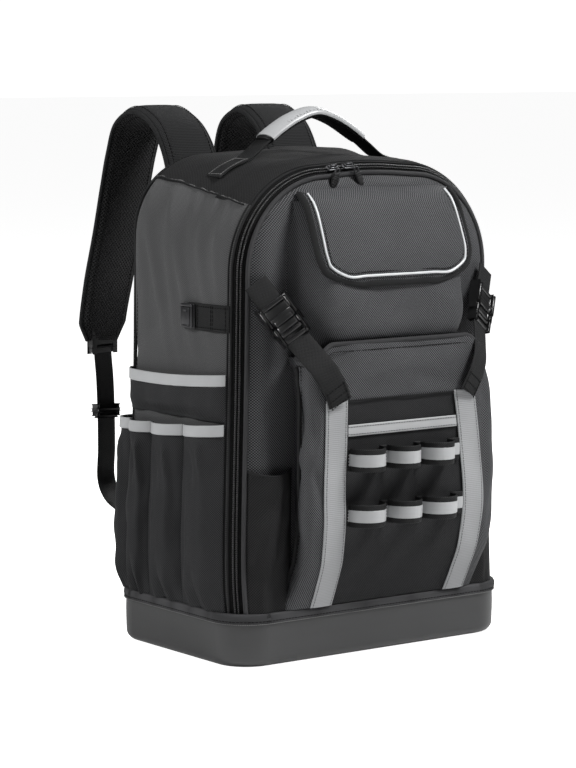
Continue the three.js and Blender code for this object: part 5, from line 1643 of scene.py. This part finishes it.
class BagLook(bpy.types.PropertyGroup):
    """Colours of the finishes and strength of the light"""
    cloth: colour("Cloth", "Main cloth of the front", (0.0075, 0.0076, 0.008))
    side_cloth: colour("Side cloth", "Cloth of the sides", (0.036, 0.0363, 0.037))
    trim: colour("Trim", "Webbing, binding and top", (0.0055, 0.0056, 0.0058))
    mesh: colour("Mesh", "Padding mesh, zip tape and dark thread", (0.003, 0.003, 0.0031))
    piping: colour("Piping", "Rolls beside the zip and on the lip", (0.022, 0.022, 0.023))
    reflective: colour("Reflective", "Reflective strips", (0.21, 0.214, 0.218))
    satin: colour("Satin", "Bands of the side pockets and the loops", (0.3, 0.305, 0.31))
    silver: colour("Silver", "Piping of the flap and cover of the grip", (0.5, 0.51, 0.52))
    tray: colour("Tray", "Moulded tray", (0.022, 0.0223, 0.0228))
    plastic: colour("Plastic", "Buckles and rubber", (0.006, 0.006, 0.0063))
    metal: colour("Metal", "Painted sliders and clip", (0.03, 0.03, 0.032))
    coil: colour("Coil", "Teeth of the zip", (0.014, 0.014, 0.0145))
    # The loose thread ends on the tray's binding take this pale colour as a painted highlight
    thread: colour("Thread", "Pale stitches and loose ends", (0.1, 0.1, 0.1))
    floor: colour("Floor", "Studio floor", (0.86, 0.86, 0.86))
    floor_glow: bpy.props.FloatProperty(name="Floor glow", description="White of the floor in sight",
                                        default=0.9, min=0)
    fill: bpy.props.FloatProperty(name="Fill", description="Strength of the white room", default=0.07, min=0)
    key: bpy.props.FloatProperty(name="Key", description="Strength of the lamps", default=1.0, min=0)


class BAG_OT_stage(bpy.types.Operator):
    """Camera at the photograph's angle, soft lamps and a pale floor"""
    bl_idname = "bag.stage"
    bl_label = "Studio"

    def execute(self, context):
        build_stage()
        return {"FINISHED"}


class BAG_OT_tray(bpy.types.Operator):
    """Moulded tray and the bound seam above it"""
    bl_idname = "bag.tray"
    bl_label = "Tray and binding"

    def execute(self, context):
        build_tray()
        return {"FINISHED"}


class BAG_OT_body(bpy.types.Operator):
    """Cloth body, front panel and their seams"""
    bl_idname = "bag.body"
    bl_label = "Body"

    def execute(self, context):
        build_body()
        return {"FINISHED"}


class BAG_OT_zip(bpy.types.Operator):
    """Zip round the arch with its coil and welts, and the sliders with their pulls"""
    bl_idname = "bag.zip"
    bl_label = "Zip and pulls"

    def execute(self, context):
        build_zip()
        build_pulls()
        return {"FINISHED"}


class BAG_OT_upper_pocket(bpy.types.Operator):
    """Upper pocket and its padded flap"""
    bl_idname = "bag.upper_pocket"
    bl_label = "Upper pocket and flap"

    def execute(self, context):
        build_upper()
        return {"FINISHED"}


class BAG_OT_lower_pocket(bpy.types.Operator):
    """Big lower pocket with its lip, reflective strips and tool loops"""
    bl_idname = "bag.lower_pocket"
    bl_label = "Lower pocket and loops"

    def execute(self, context):
        build_lower()
        build_strips()
        build_loops()
        return {"FINISHED"}


class BAG_OT_side_pockets(bpy.types.Operator):
    """Tool pockets of the left side with their bands, and the open pouches in front"""
    bl_idname = "bag.side_pockets"
    bl_label = "Side pockets and pouches"

    def execute(self, context):
        build_side_pockets()
        build_stash()
        return {"FINISHED"}


class BAG_OT_tape_tab(bpy.types.Operator):
    """Webbing tab with its metal clip"""
    bl_idname = "bag.tape_tab"
    bl_label = "Tape tab"

    def execute(self, context):
        build_tape_tab()
        return {"FINISHED"}


class BAG_OT_compression(bpy.types.Operator):
    """Compression straps and their buckles"""
    bl_idname = "bag.compression"
    bl_label = "Compression straps"

    def execute(self, context):
        build_compression()
        return {"FINISHED"}


class BAG_OT_handle(bpy.types.Operator):
    """Carry handle with its grip"""
    bl_idname = "bag.handle"
    bl_label = "Carry handle"

    def execute(self, context):
        build_handle()
        return {"FINISHED"}


class BAG_OT_straps(bpy.types.Operator):
    """Shoulder straps, their webbing and the chest strap"""
    bl_idname = "bag.straps"
    bl_label = "Shoulder straps"

    def execute(self, context):
        build_straps()
        build_strap_tails()
        build_chest_strap()
        return {"FINISHED"}


class BAG_OT_back(bpy.types.Operator):
    """Padded back panel"""
    bl_idname = "bag.back"
    bl_label = "Back panel"

    def execute(self, context):
        build_back()
        return {"FINISHED"}


OPERATORS = [BAG_OT_stage, BAG_OT_tray, BAG_OT_body, BAG_OT_zip, BAG_OT_upper_pocket, BAG_OT_lower_pocket,
             BAG_OT_side_pockets, BAG_OT_tape_tab, BAG_OT_compression, BAG_OT_handle, BAG_OT_straps,
             BAG_OT_back]


class BAG_PT_panel(bpy.types.Panel):
    """Lists the pieces in the order in which they are built"""
    bl_idname = "BAG_PT_panel"
    bl_label = "Tool Backpack"
    bl_space_type = "VIEW_3D"
    bl_region_type = "UI"
    bl_category = "Backpack"

    def draw(self, context):
        column = self.layout.column()
        for operator in OPERATORS:
            column.operator(operator.bl_idname)
        for group in (context.scene.bag_sizes, context.scene.bag_look):
            box = self.layout.box()
            for name in group.__annotations__:
                box.prop(group, name)


CLASSES = [BagSizes, BagLook, *OPERATORS, BAG_PT_panel]


def register():
    for item in CLASSES:
        bpy.utils.register_class(item)
    bpy.types.Scene.bag_sizes = bpy.props.PointerProperty(type=BagSizes)
    bpy.types.Scene.bag_look = bpy.props.PointerProperty(type=BagLook)


def unregister():
    del bpy.types.Scene.bag_look
    del bpy.types.Scene.bag_sizes
    for item in reversed(CLASSES):
        bpy.utils.unregister_class(item)


def main():
    register()
    for operator in OPERATORS:
        group, name = operator.bl_idname.split(".")
        getattr(getattr(bpy.ops, group), name)()


if __name__ == "__main__":
    main()
